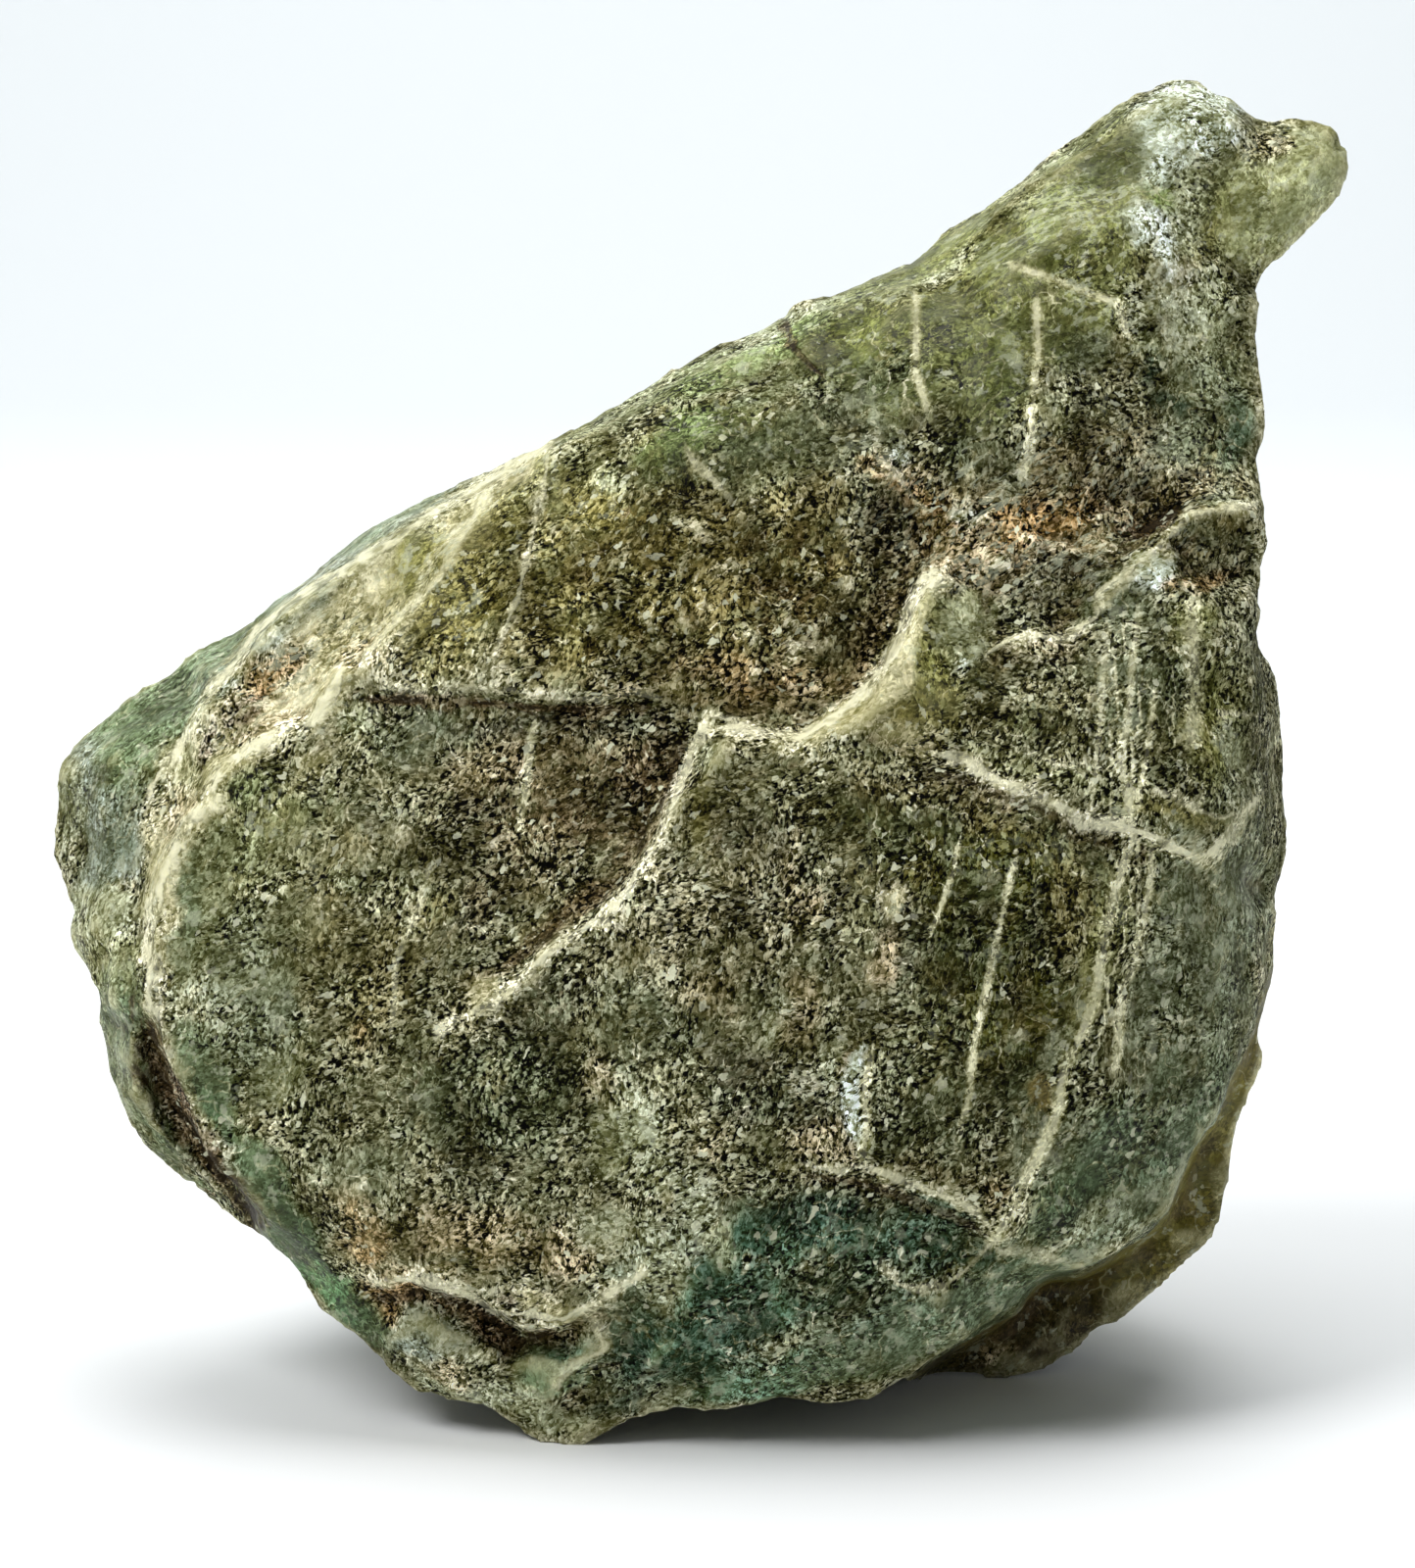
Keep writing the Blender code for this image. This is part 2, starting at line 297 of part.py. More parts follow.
# Single heights of the back, the underside among them
BACK_SPOTS = (
    (6.30, 6.25, -8), (5.50, 6.10, -10.5), (5.10, 6.60, -10), (4.30, 6.10, -11), (3.40, 5.50, -10),
    (2.40, 4.80, -11), (5.30, 4.60, -12), (5.20, 3.40, -14), (4.40, 3.00, -22), (1.60, 4.20, -13),
    (1.40, 3.00, -22), (0.50, 3.80, -10), (5.30, 1.80, -14), (4.20, 1.40, -26), (5.40, 0.30, -14),
    (-2.60, 2.20, -15), (-3.90, 1.10, -17), (-5.10, 0.40, -17), (-4.70, -0.80, -21), (-5.60, -0.90, -15),
    (-4.90, -2.30, -18), (-5.50, -2.60, -13), (-4.70, -3.60, -13), (-3.90, -4.30, -10),
    (4.60, -2.20, -30), (5.30, -2.40, -20), (3.20, -1.80, -38), (2.60, -3.40, -37.5), (4.10, -3.80, -25.5),
    (5.00, -3.60, -18), (1.20, -3.80, -40.5), (-1.90, -2.60, -34), (-2.00, -3.90, -32),
    # the underside, between the feet
    (3.60, -5.72, -14), (2.60, -5.70, -14), (4.10, -5.40, -15), (2.00, -5.80, -4), (1.40, -5.40, -18),
    (0.60, -5.80, -2), (0.20, -5.40, -16), (-0.60, -6.10, 1), (-1.20, -6.50, 2.5), (-1.60, -6.40, 3),
    (-1.00, -5.60, -15), (-2.00, -5.90, 0), (-2.40, -5.60, -6), (-3.00, -5.45, -1),
)


def place(across, up, relief):
    """The real place of a point of the drawing that stands relief mm out towards the viewer."""
    out = relief * MM
    nearer = 1 - out / VIEW_DISTANCE
    right = (across - SIGHT_ACROSS) * SQUARE * nearer
    rise = up * SQUARE * nearer
    return Vector((
        right,
        rise * math.sin(VIEW_PITCH) - out * math.cos(VIEW_PITCH),
        SIGHT_HEIGHT + rise * math.cos(VIEW_PITCH) + out * math.sin(VIEW_PITCH),
    ))


def triangulate(lines, spots):
    """One drawing as triangles that keep the outline and every line: its points, with the outline's first,
    and three point numbers for each triangle."""
    points = list(OUTLINE)
    kept_edges = []
    for line in lines.values():
        first = len(points)
        points += line
        kept_edges += [(i, i + 1) for i in range(first, len(points) - 1)]
    points += spots
    outline = list(range(len(OUTLINE)))
    flat = [Vector(point[:2]) for point in points]
    made = delaunay_2d_cdt(flat, kept_edges, [outline[::-1]], 1, 1e-4)
    corners, triangles, sources = made[0], made[2], made[3]
    for corner, source in zip(corners, sources):
        if not source:
            raise ValueError(f"two lines of the drawing cross at {tuple(corner)}")
    return points, [[sources[i][0] for i in triangle] for triangle in triangles]


def drawn_solid():
    """The front and the back drawings as one closed mesh."""
    mesh = bmesh.new()
    rim = [mesh.verts.new(place(*point)) for point in OUTLINE]
    for lines, spots, is_front in ((FRONT_LINES, FRONT_SPOTS, True), (BACK_LINES, BACK_SPOTS, False)):
        points, triangles = triangulate(lines, spots)
        corners = rim + [mesh.verts.new(place(*point)) for point in points[len(OUTLINE):]]
        for triangle in triangles:
            turned = triangle if is_front else triangle[::-1]
            mesh.faces.new([corners[i] for i in turned])
    bmesh.ops.recalc_face_normals(mesh, faces=mesh.faces)
    return mesh


def as_object(mesh, name):
    """The mesh as an object of the scene."""
    data = bpy.data.meshes.new(name)
    mesh.to_mesh(data)
    made = bpy.data.objects.new(name, data)
    bpy.context.scene.collection.objects.link(made)
    return made


def apply_modifier(thing, kind, **settings):
    """One modifier on the object, worked out and kept."""
    modifier = thing.modifiers.new(kind, kind)
    for name, value in settings.items():
        setattr(modifier, name, value)
    graph = bpy.context.evaluated_depsgraph_get()
    made = bpy.data.meshes.new_from_object(thing.evaluated_get(graph))
    thing.modifiers.clear()
    thing.data = made


def grain(at):
    """How far the broken surface stands out at a place, in metres."""
    total = 0.0
    for size, height, shape in BROKEN_GRAIN:
        where = at / size
        if shape == "soft":
            total += height * noise.noise(where)
        else:
            from_middle = noise.voronoi(where)[0][0]
            total += height * (2 * from_middle ** 2 - 0.5)
    return total


def roughen(thing):
    """The grain, on a mesh fine enough to hold it, then only as many facets as show it."""
    apply_modifier(thing, "REMESH", mode="VOXEL", voxel_size=FINE_CELL)
    normals = [vertex.normal.copy() for vertex in thing.data.vertices]
    for vertex, normal in zip(thing.data.vertices, normals):
        vertex.co += normal * grain(vertex.co)
    triangles = 2 * len(thing.data.polygons)
    apply_modifier(thing, "DECIMATE", ratio=KEPT_FACETS / triangles)


def cut_feet(mesh):
    """The stone stands on three places, which are cut flat in the plane of the floor."""
    cut = bmesh.ops.bisect_plane(
        mesh, geom=mesh.verts[:] + mesh.edges[:] + mesh.faces[:],
        plane_co=(0, 0, 0), plane_no=(0, 0, 1), clear_inner=True,
    )
    rims = [piece for piece in cut["geom_cut"] if isinstance(piece, bmesh.types.BMEdge)]
    bmesh.ops.edgeloop_fill(mesh, edges=rims)
    bmesh.ops.triangulate(mesh, faces=mesh.faces)
    bmesh.ops.dissolve_degenerate(mesh, dist=SMALLEST_EDGE, edges=mesh.edges)
    for vertex in mesh.verts:
        if abs(vertex.co.z) < FLOOR_TOLERANCE:
            vertex.co.z = 0.0


def centre(mesh):
    """The middle of the stone's box goes over the origin, and the floor stays at Z = 0."""
    low = [min(vertex.co[axis] for vertex in mesh.verts) for axis in (0, 1)]
    high = [max(vertex.co[axis] for vertex in mesh.verts) for axis in (0, 1)]
    shift = Vector((-(low[0] + high[0]) / 2, -(low[1] + high[1]) / 2, 0))
    bmesh.ops.translate(mesh, verts=mesh.verts, vec=shift)
    print("the point looked at is at", [round(c, 5) for c in shift + Vector((0, 0, SIGHT_HEIGHT))])


def aventurine():
    """Olive green quartz, rough where it broke."""
    material = bpy.data.materials.new("aventurine")
    material.use_nodes = True
    shader = material.node_tree.nodes["Principled BSDF"]
    shader.inputs["Base Color"].default_value = (0.22, 0.24, 0.15, 1)
    shader.inputs["Roughness"].default_value = 0.6
    shader.inputs["Metallic"].default_value = 0
    return material


stone = as_object(drawn_solid(), "aventurine_stone")
roughen(stone)
solid = bmesh.new()
solid.from_mesh(stone.data)
cut_feet(solid)
centre(solid)
solid.to_mesh(stone.data)
stone.data.shade_smooth()
stone.data.set_sharp_from_angle(angle=SHARP_ANGLE)
stone.data.materials.append(aventurine())
print(len(stone.data.polygons), "facets")
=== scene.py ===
# %% [markdown]
# # A raw lump of green aventurine
#
# Aventurine is quartz full of tiny flakes of mica. Where it breaks it shows a coarse, sugary face with
# dark gaps between the grains, and where it is thin or worn it turns smooth, waxy and a little
# see-through. This lesson takes the plain solid of the stone and gives it that surface.
#
# The solid comes from a drawing on squared paper, so this lesson uses the same paper: every patch of
# colour and every vein is laid on by its place across and up the sheet.

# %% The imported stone
import math

import bmesh
import bpy
import numpy as np
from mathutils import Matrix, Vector, noise


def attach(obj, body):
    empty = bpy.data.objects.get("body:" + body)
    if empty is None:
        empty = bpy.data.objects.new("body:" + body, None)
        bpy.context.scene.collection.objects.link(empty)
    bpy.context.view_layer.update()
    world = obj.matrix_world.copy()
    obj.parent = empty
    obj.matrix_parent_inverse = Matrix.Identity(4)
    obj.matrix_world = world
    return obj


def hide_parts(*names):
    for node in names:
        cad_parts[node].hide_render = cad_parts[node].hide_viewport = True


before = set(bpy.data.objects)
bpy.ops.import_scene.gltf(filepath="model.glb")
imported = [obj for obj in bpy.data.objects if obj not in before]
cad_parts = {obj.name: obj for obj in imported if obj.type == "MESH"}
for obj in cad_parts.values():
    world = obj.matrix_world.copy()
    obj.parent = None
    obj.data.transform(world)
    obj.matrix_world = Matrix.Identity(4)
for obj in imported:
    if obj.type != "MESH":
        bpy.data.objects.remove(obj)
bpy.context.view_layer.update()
STONE_NODE = "aventurine_stone"

# %% [markdown]
# ## The squared paper
#
# The stone was drawn as an eye sees it from 400 mm away, looking down by ten degrees. A point of the
# surface has a place across and up the paper, in squares of 8.5 mm, and a height towards the eye. The
# sum below turns points of the stone back into places on the paper. It could be done for one point
# at a time, but whole columns of numbers are far quicker for a fine mesh.

# %% From the stone to the paper
MM = 0.001
SQUARE = 0.0085
VIEW_DISTANCE = 0.400
VIEW_PITCH = math.radians(10)
SIGHT_POINT = Vector((0.000608, -0.006693, 0.0538))
SIGHT_ACROSS = 0.22


def on_paper(points):
    """Columns across and up in squares, and height towards the eye in mm, of rows of x, y, z."""
    away = points - np.array(SIGHT_POINT)
    rise = away[:, 1] * math.sin(VIEW_PITCH) + away[:, 2] * math.cos(VIEW_PITCH)
    out = -away[:, 1] * math.cos(VIEW_PITCH) + away[:, 2] * math.sin(VIEW_PITCH)
    nearer = 1 - out / VIEW_DISTANCE
    across = away[:, 0] / (SQUARE * nearer) + SIGHT_ACROSS
    up = rise / (SQUARE * nearer)
    return across, up, out / MM


# %% [markdown]
# ## A finer skin
#
# The solid has about 9,700 flat facets. Broken quartz has far smaller ones, so the visible piece is a
# copy with many more points. Subdividing would keep the old facets' long edges, so the copy is
# remeshed into even squares instead, which lets the grain cross them freely. One light round of
# smoothing then softens the facets' edges and leaves the ledges.

# %% Remesh a copy of the solid
SKIN_MESH = 0.00065
SMOOTHING_ROUNDS = 1
SMOOTHING = 0.5


def finer_copy(source):
    """A separate object with an evenly remeshed, lightly smoothed copy of the source's mesh."""
    copy = bpy.data.objects.new("raw_aventurine", source.data.copy())
    bpy.context.scene.collection.objects.link(copy)
    remesh = copy.modifiers.new("even squares", "REMESH")
    remesh.mode = "VOXEL"
    remesh.voxel_size = SKIN_MESH
    remesh.use_smooth_shade = True
    smooth = copy.modifiers.new("hide the facets", "SMOOTH")
    smooth.factor = SMOOTHING
    smooth.iterations = SMOOTHING_ROUNDS
    shown = copy.evaluated_get(bpy.context.evaluated_depsgraph_get())
    finer = bpy.data.meshes.new_from_object(shown)
    copy.modifiers.clear()
    copy.data = finer
    return copy


stone = finer_copy(bpy.data.objects[STONE_NODE])
stone_mesh = stone.data
POINTS = len(stone_mesh.vertices)
print("points", POINTS, "faces", len(stone_mesh.polygons))

# %% [markdown]
# ## Working with columns
#
# The steps that follow need each point's place and direction, and which points are neighbours. They
# are read once into columns. The helpers are a soft step, which goes from 0 to 1 without a corner,
# and an average over neighbours, which spreads a value over the surface as ink spreads in paper.

# %% Columns and helpers
EDGE_ENDS = np.empty(2 * len(stone_mesh.edges), dtype=np.int32)
stone_mesh.edges.foreach_get("vertices", EDGE_ENDS)
EDGE_ENDS = EDGE_ENDS.reshape(-1, 2)
NEIGHBOURS = np.bincount(EDGE_ENDS.ravel(), minlength=POINTS)


def places():
    """Rows of x, y, z of the stone's points."""
    column = np.empty(3 * POINTS)
    stone_mesh.vertices.foreach_get("co", column)
    return column.reshape(-1, 3)


def directions():
    """Rows of the stone's outward directions at its points."""
    column = np.empty(3 * POINTS)
    stone_mesh.vertex_normals.foreach_get("vector", column)
    return column.reshape(-1, 3)


def soft_step(value, low, high):
    """0 below low, 1 above high and a smooth curve between them."""
    part = np.clip((value - low) / (high - low), 0, 1)
    return part * part * (3 - 2 * part)


def spread(values, rounds):
    """The values after each point has gone half way to its neighbours' average, a number of times."""
    for _ in range(rounds):
        total = np.zeros_like(values)
        np.add.at(total, EDGE_ENDS[:, 0], values[EDGE_ENDS[:, 1]])
        np.add.at(total, EDGE_ENDS[:, 1], values[EDGE_ENDS[:, 0]])
        count = NEIGHBOURS if values.ndim == 1 else NEIGHBOURS[:, None]
        values = 0.5 * values + 0.5 * total / count
    return values


PLACES = places()
ACROSS, UP, RELIEF = on_paper(PLACES)
TOWARDS_EYE = np.array((0, -math.cos(VIEW_PITCH), math.sin(VIEW_PITCH)))
FACING_ROUNDS = 4
FACING_RANGE = (-0.2, 0.1)
FACING = spread(directions() @ TOWARDS_EYE, FACING_ROUNDS)
FRONT = soft_step(FACING, *FACING_RANGE)
print("share of points on the drawn side", round(float(FRONT.mean()), 2))

# %% [markdown]
# ## Tones of the stone
#
# The stone isn't one green. The fresh faces are olive with brown between the grains, the worn rims are
# cream, thin places are mint, and one corner is blue-green. Each tone is given as red, green and blue
# from 0 to 255, and has a waxiness: 0 for a sugary broken face and 1 for a smooth, glassy one.

# %% The palette
TONES = {
    "olive grey": ((100, 98, 72), 0.15),
    "pale olive": ((126, 126, 92), 0.35),
    "olive": ((104, 104, 56), 0.50),
    "brown olive": ((98, 90, 54), 0.15),
    "brown grey": ((92, 82, 56), 0.0),
    "red brown": ((80, 64, 42), 0.0),
    "near black": ((52, 50, 34), 0.0),
    "dark olive": ((53, 52, 12), 0.4),
    "bottle": ((66, 70, 46), 0.15),
    "warm grey": ((106, 101, 76), 0.0),
    "shelf brown": ((92, 83, 44), 0.2),
    "shelf shade": ((66, 58, 24), 0.05),
    "rust": ((136, 106, 64), 0.0),
    "tan": ((142, 128, 98), 0.1),
    "straw": ((134, 131, 78), 0.95),
    "facet olive": ((112, 106, 56), 0.75),
    "cream": ((197, 189, 158), 0.9),
    "moss": ((58, 64, 20), 0.6),
    "leaf": ((106, 122, 66), 0.75),
    "horn olive": ((108, 112, 56), 0.95),
    "horn shade": ((82, 88, 38), 0.9),
    "lichen": ((154, 156, 130), 0.65),
    "veil": ((130, 134, 104), 0.6),
    "chalk": ((214, 222, 216), 0.75),
    "tongue": ((177, 179, 140), 1.0),
    "flank grey": ((132, 140, 130), 0.8),
    "flank green": ((108, 124, 92), 0.8),
    "flank shade": ((84, 98, 74), 0.75),
    "mint": ((84, 102, 72), 0.8),
    "bright mint": ((104, 144, 100), 0.9),
    "deep mint": ((62, 84, 54), 0.85),
    "teal": ((50, 73, 57), 0.45),
    "deep teal": ((32, 52, 40), 0.4),
    "sea": ((106, 138, 114), 0.7),
    "pale teal": ((84, 100, 84), 0.6),
    "rim grey": ((110, 116, 92), 0.7),
    "slate": ((84, 88, 66), 0.5),
    "ochre": ((106, 96, 34), 1.0),
    "umber": ((72, 56, 42), 0.0),
    "lump shade": ((62, 50, 24), 0.75),
}
print("tones", len(TONES))

# %% [markdown]
# ## Patches of colour
#
# The patches are laid on like strokes of a soft brush: a tone, its place across and up, its half
# length and half width in squares, its turn in degrees and how strongly it covers. Big strokes come
# first and small ones over them. A painter would do the same on a cast of the stone. The alternative,
# noise alone, gives a stone of the right kind but never this one.
#
# The first list is the left side. The flank is an old worn skin, smooth and grey-green, and the bevel
# that joins it to the broken front is cream, with darker brown strokes in the groove under it.

# %% Strokes of the left side: flank, bevel and lump
FLANK_STROKES = [
    ("flank grey", -4.1, 2.1, 3.4, 0.75, 38, 1.0),
    ("flank green", -5.5, 0.6, 1.2, 0.45, 52, 1.0),
    ("flank shade", -5.2, 0.9, 0.9, 0.2, 45, 0.7),
    ("flank grey", -6.2, 0.0, 0.3, 0.8, 15, 0.9),
    ("flank grey", -5.85, -0.7, 0.35, 0.8, -10, 0.9),
    ("flank shade", -5.7, -0.3, 0.12, 0.7, -15, 0.6),
    ("flank green", -4.6, 1.55, 0.9, 0.2, 38, 0.8),
    ("flank green", -3.0, 2.75, 0.9, 0.15, 36, 0.6),
    ("cream", -3.5, 1.5, 2.1, 0.50, 44, 1.0),
    ("cream", -4.9, 0.0, 1.1, 0.42, 55, 1.0),
    ("cream", -5.35, -0.9, 0.9, 0.22, 95, 0.9),
    ("cream", -1.9, 3.05, 0.7, 0.22, 38, 0.9),
    ("straw", -2.7, 2.35, 0.6, 0.36, 35, 1.0),
    ("straw", -2.05, 2.75, 0.6, 0.16, 40, 0.6),
    ("facet olive", -3.1, 1.8, 0.35, 0.15, 30, 0.5),
    ("tan", -4.35, 1.0, 0.7, 0.28, 42, 0.9),
    ("umber", -4.5, 0.78, 0.45, 0.14, 42, 0.9),
    ("umber", -4.85, 0.35, 0.3, 0.10, 55, 0.8),
    ("rust", -4.15, 1.1, 0.35, 0.18, 30, 0.7),
    ("rust", -3.3, 1.35, 0.3, 0.2, 40, 0.5),
    ("tan", -5.2, -0.3, 0.4, 0.2, 65, 0.7),
    ("cream", -3.9, 0.78, 0.5, 0.16, 20, 0.8),
    ("facet olive", -2.25, 2.0, 1.15, 0.5, 63, 1.0),
    ("brown olive", -2.6, 1.3, 0.5, 0.22, 25, 0.7),
    ("straw", -1.72, 2.75, 0.55, 0.14, 75, 0.7),
    ("straw", -1.9, 1.9, 0.4, 0.10, 75, 0.5),
    ("lichen", -5.9, -1.2, 0.5, 0.22, -15, 1.0),
    ("lichen", -6.0, -1.55, 0.5, 0.45, 110, 1.0),
    ("pale olive", -5.85, -1.9, 0.5, 0.3, 100, 0.9),
    ("mint", -5.7, -2.6, 0.8, 0.35, 100, 0.9),
    ("lichen", -5.75, -2.9, 0.6, 0.12, 105, 0.5),
    ("mint", -5.1, -3.8, 0.9, 0.3, 130, 0.6),
    ("umber", -5.25, -3.2, 0.95, 0.22, 113, 0.9),
    ("brown grey", -4.85, -3.95, 0.5, 0.2, 130, 0.8),
    ("cream", -4.0, 0.12, 0.4, 0.14, 25, 0.6),
    ("pale olive", -4.6, -1.6, 0.5, 0.4, 0, 0.7),
    ("pale olive", -4.1, -2.8, 0.4, 0.5, 0, 0.7),
    ("warm grey", -2.3, -3.0, 0.3, 0.7, 0, 0.7),
    ("tan", -2.1, -2.05, 0.3, 0.2, 0, 0.6),
    ("pale olive", -0.7, -3.5, 0.3, 0.4, 0, 0.8),
    ("lichen", -0.2, -4.9, 0.3, 0.4, 0, 0.7),
    ("lichen", -6.3, -0.2, 0.2, 0.5, 0, 0.8),
]
print("strokes of the left side", len(FLANK_STROKES))

# %% [markdown]
# ## The left plate
#
# The large plate at the left is the freshest break, olive and brown with a nearly black corner under the
# crevice. Near black strokes also paint the shade under the ledge at its top and along the left side of
# the rib. It turns to mint along its lower left edge, where it is thin, and the paler mint there paints
# the light that comes through the thin edge.

# %% Strokes of the left plate
LEFT_PLATE_STROKES = [
    ("olive", -4.4, -0.5, 0.8, 0.7, 40, 0.9),
    ("pale olive", -4.9, -1.2, 1.1, 0.35, 80, 0.9),
    ("mint", -5.1, -1.4, 0.9, 0.16, 85, 0.7),
    ("lichen", -5.15, -1.9, 0.5, 0.2, 95, 0.6),
    ("leaf", -4.6, -0.1, 0.4, 0.22, 45, 0.5),
    ("brown olive", -3.8, -0.9, 0.9, 0.5, 60, 0.9),
    ("brown olive", -3.9, -1.7, 0.7, 0.4, 60, 0.6),
    ("olive grey", -2.9, -0.3, 0.8, 0.6, 20, 0.9),
    ("slate", -2.7, 0.5, 0.6, 0.35, 0, 0.8),
    ("veil", -3.35, 0.65, 0.25, 0.2, 40, 0.8),
    ("veil", -3.6, -0.2, 0.08, 0.3, 5, 0.9),
    ("veil", -3.5, -1.0, 0.2, 0.12, 0, 0.6),
    ("brown grey", -1.4, -0.1, 1.4, 0.9, 10, 1.0),
    ("brown olive", -2.6, -0.5, 0.5, 0.25, 30, 0.5),
    # Painted shadow under the ledge at the top of the plate.
    ("near black", -1.3, 0.62, 1.3, 0.16, 2, 0.9),
    ("tan", -1.65, 0.0, 0.08, 0.55, -5, 0.6),
    ("red brown", -0.45, 0.15, 0.3, 0.6, -20, 0.9),
    ("red brown", -1.0, -0.3, 0.5, 0.3, 0, 0.5),
    # The next near black strokes and the shelf shade line paint the shade along the left side of the rib.
    ("near black", -2.2, -0.3, 0.5, 0.3, 20, 0.5),
    ("near black", -2.2, -1.25, 0.5, 0.38, 20, 0.9),
    ("brown grey", -1.7, -0.9, 0.9, 0.35, 30, 0.6),
    ("shelf shade", -1.35, -1.35, 0.6, 0.12, 38, 0.7),
    ("slate", -4.4, -2.3, 0.9, 0.6, 110, 0.9),
    ("lichen", -4.85, -2.3, 0.4, 0.14, 110, 0.6),
    ("brown olive", -3.1, -2.0, 0.8, 0.5, 60, 0.7),
    ("rust", -3.27, -2.55, 0.16, 0.12, 0, 0.8),
    ("mint", -4.85, -3.1, 0.8, 0.25, 115, 0.9),
    ("deep mint", -4.7, -3.6, 0.7, 0.16, 118, 0.9),
    ("olive grey", -4.2, -3.3, 0.6, 0.3, 115, 0.7),
    ("mint", -4.25, -4.0, 0.6, 0.2, 125, 0.9),
    ("deep mint", -4.0, -4.6, 0.5, 0.28, 128, 1.0),
    ("bright mint", -3.5, -5.25, 0.3, 0.24, 140, 1.0),
    ("deep mint", -3.75, -4.95, 0.2, 0.1, 130, 0.8),
    ("olive grey", -3.3, -3.1, 0.9, 0.8, 0, 0.7),
    ("bottle", -1.9, -3.2, 1.3, 0.8, 10, 0.9),
    ("near black", -1.5, -2.3, 0.7, 0.35, 15, 0.6),
    ("near black", -2.1, -3.9, 0.6, 0.3, 0, 0.5),
    ("pale olive", -2.6, -2.6, 0.3, 0.2, 0, 0.4),
    ("rust", -3.3, -4.5, 0.5, 0.3, 120, 0.6),
    ("slate", -3.3, -4.0, 0.5, 0.5, 0, 0.5),
    ("tan", -2.2, -4.6, 0.9, 0.3, -5, 0.8),
    ("tan", -1.2, -4.75, 0.8, 0.3, 5, 0.8),
    ("lichen", -0.5, -3.45, 0.65, 0.25, -62, 0.9),
    ("tan", -0.85, -3.0, 0.4, 0.2, -60, 0.6),
    ("lichen", -0.75, -4.6, 0.5, 0.35, 10, 0.7),
    ("cream", -1.4, -5.3, 0.6, 0.14, -12, 0.9),
    ("tan", -2.6, -5.0, 0.5, 0.12, -10, 0.8),
    ("lichen", -0.6, -5.1, 0.4, 0.1, 25, 0.8),
]
print("strokes of the left plate", len(LEFT_PLATE_STROKES))

# %% [markdown]
# ## The lower edge
#
# A lip has broken out of the lower edge like a shell, pale at its rim and brown inside. To the right
# of it the stone is blue-green, the only place where it is so cool.

# %% Strokes of the lower edge: lip, chips and the blue-green corner
LOWER_STROKES = [
    ("deep mint", -3.2, -5.5, 0.5, 0.3, -30, 0.7),
    ("rust", -2.9, -5.3, 0.5, 0.25, -20, 0.8),
    ("lichen", -2.65, -5.5, 0.35, 0.25, -30, 0.9),
    ("cream", -2.5, -6.0, 0.5, 0.08, -28, 0.8),
    ("umber", -1.95, -5.6, 0.45, 0.2, -35, 1.0),
    ("umber", -1.75, -5.4, 0.3, 0.1, -30, 0.8),
    ("lichen", -2.15, -5.85, 0.25, 0.12, -30, 0.6),
    ("sea", -1.35, -6.0, 0.45, 0.25, 20, 0.9),
    ("lichen", -1.1, -5.65, 0.25, 0.15, 20, 0.8),
    ("pale olive", -1.4, -6.5, 0.7, 0.12, -20, 0.9),
    ("teal", 0.9, -4.9, 1.9, 0.8, 10, 1.0),
    ("teal", 0.0, -5.7, 1.1, 0.6, 15, 1.0),
    ("deep teal", -0.5, -5.9, 0.4, 0.35, 20, 0.9),
    ("deep teal", 0.6, -5.6, 0.4, 0.35, 30, 0.8),
    ("deep teal", 1.3, -4.35, 0.8, 0.22, 0, 0.9),
    ("bottle", 1.3, -5.0, 0.7, 0.25, 10, 0.7),
    ("lichen", 0.1, -4.35, 0.22, 0.5, 10, 0.8),
    ("pale olive", 0.35, -4.7, 0.2, 0.3, 0, 0.6),
    ("sea", 0.0, -5.2, 0.3, 0.12, 60, 0.6),
    ("sea", -0.25, -5.75, 0.25, 0.1, 60, 0.7),
    ("sea", 1.05, -4.7, 0.12, 0.35, 10, 0.6),
    ("sea", 0.95, -5.3, 0.08, 0.4, 8, 0.6),
    ("teal", 2.5, -4.55, 0.55, 0.35, 20, 0.9),
    ("pale teal", 2.7, -4.85, 0.5, 0.12, 20, 0.8),
    ("pale teal", 2.2, -5.45, 1.1, 0.28, 18, 0.9),
    ("bottle", 1.8, -5.2, 0.7, 0.14, 20, 0.7),
    ("rim grey", 2.7, -5.2, 0.5, 0.14, 25, 0.6),
    ("sea", 0.8, -6.1, 1.0, 0.2, 13, 0.9),
    ("flank green", 1.6, -6.0, 0.8, 0.16, 8, 0.8),
    ("lichen", -0.2, -6.35, 0.35, 0.08, 25, 0.7),
    ("deep teal", -0.7, -6.35, 0.4, 0.12, 20, 0.7),
]
print("strokes of the lower edge", len(LOWER_STROKES))

# %% [markdown]
# ## The middle and the right slab
#
# Right of the bright rim the slab is dark, olive turning to black between its pale veins, with two
# small cream scars. Its right and lower edges are worn smooth and green.

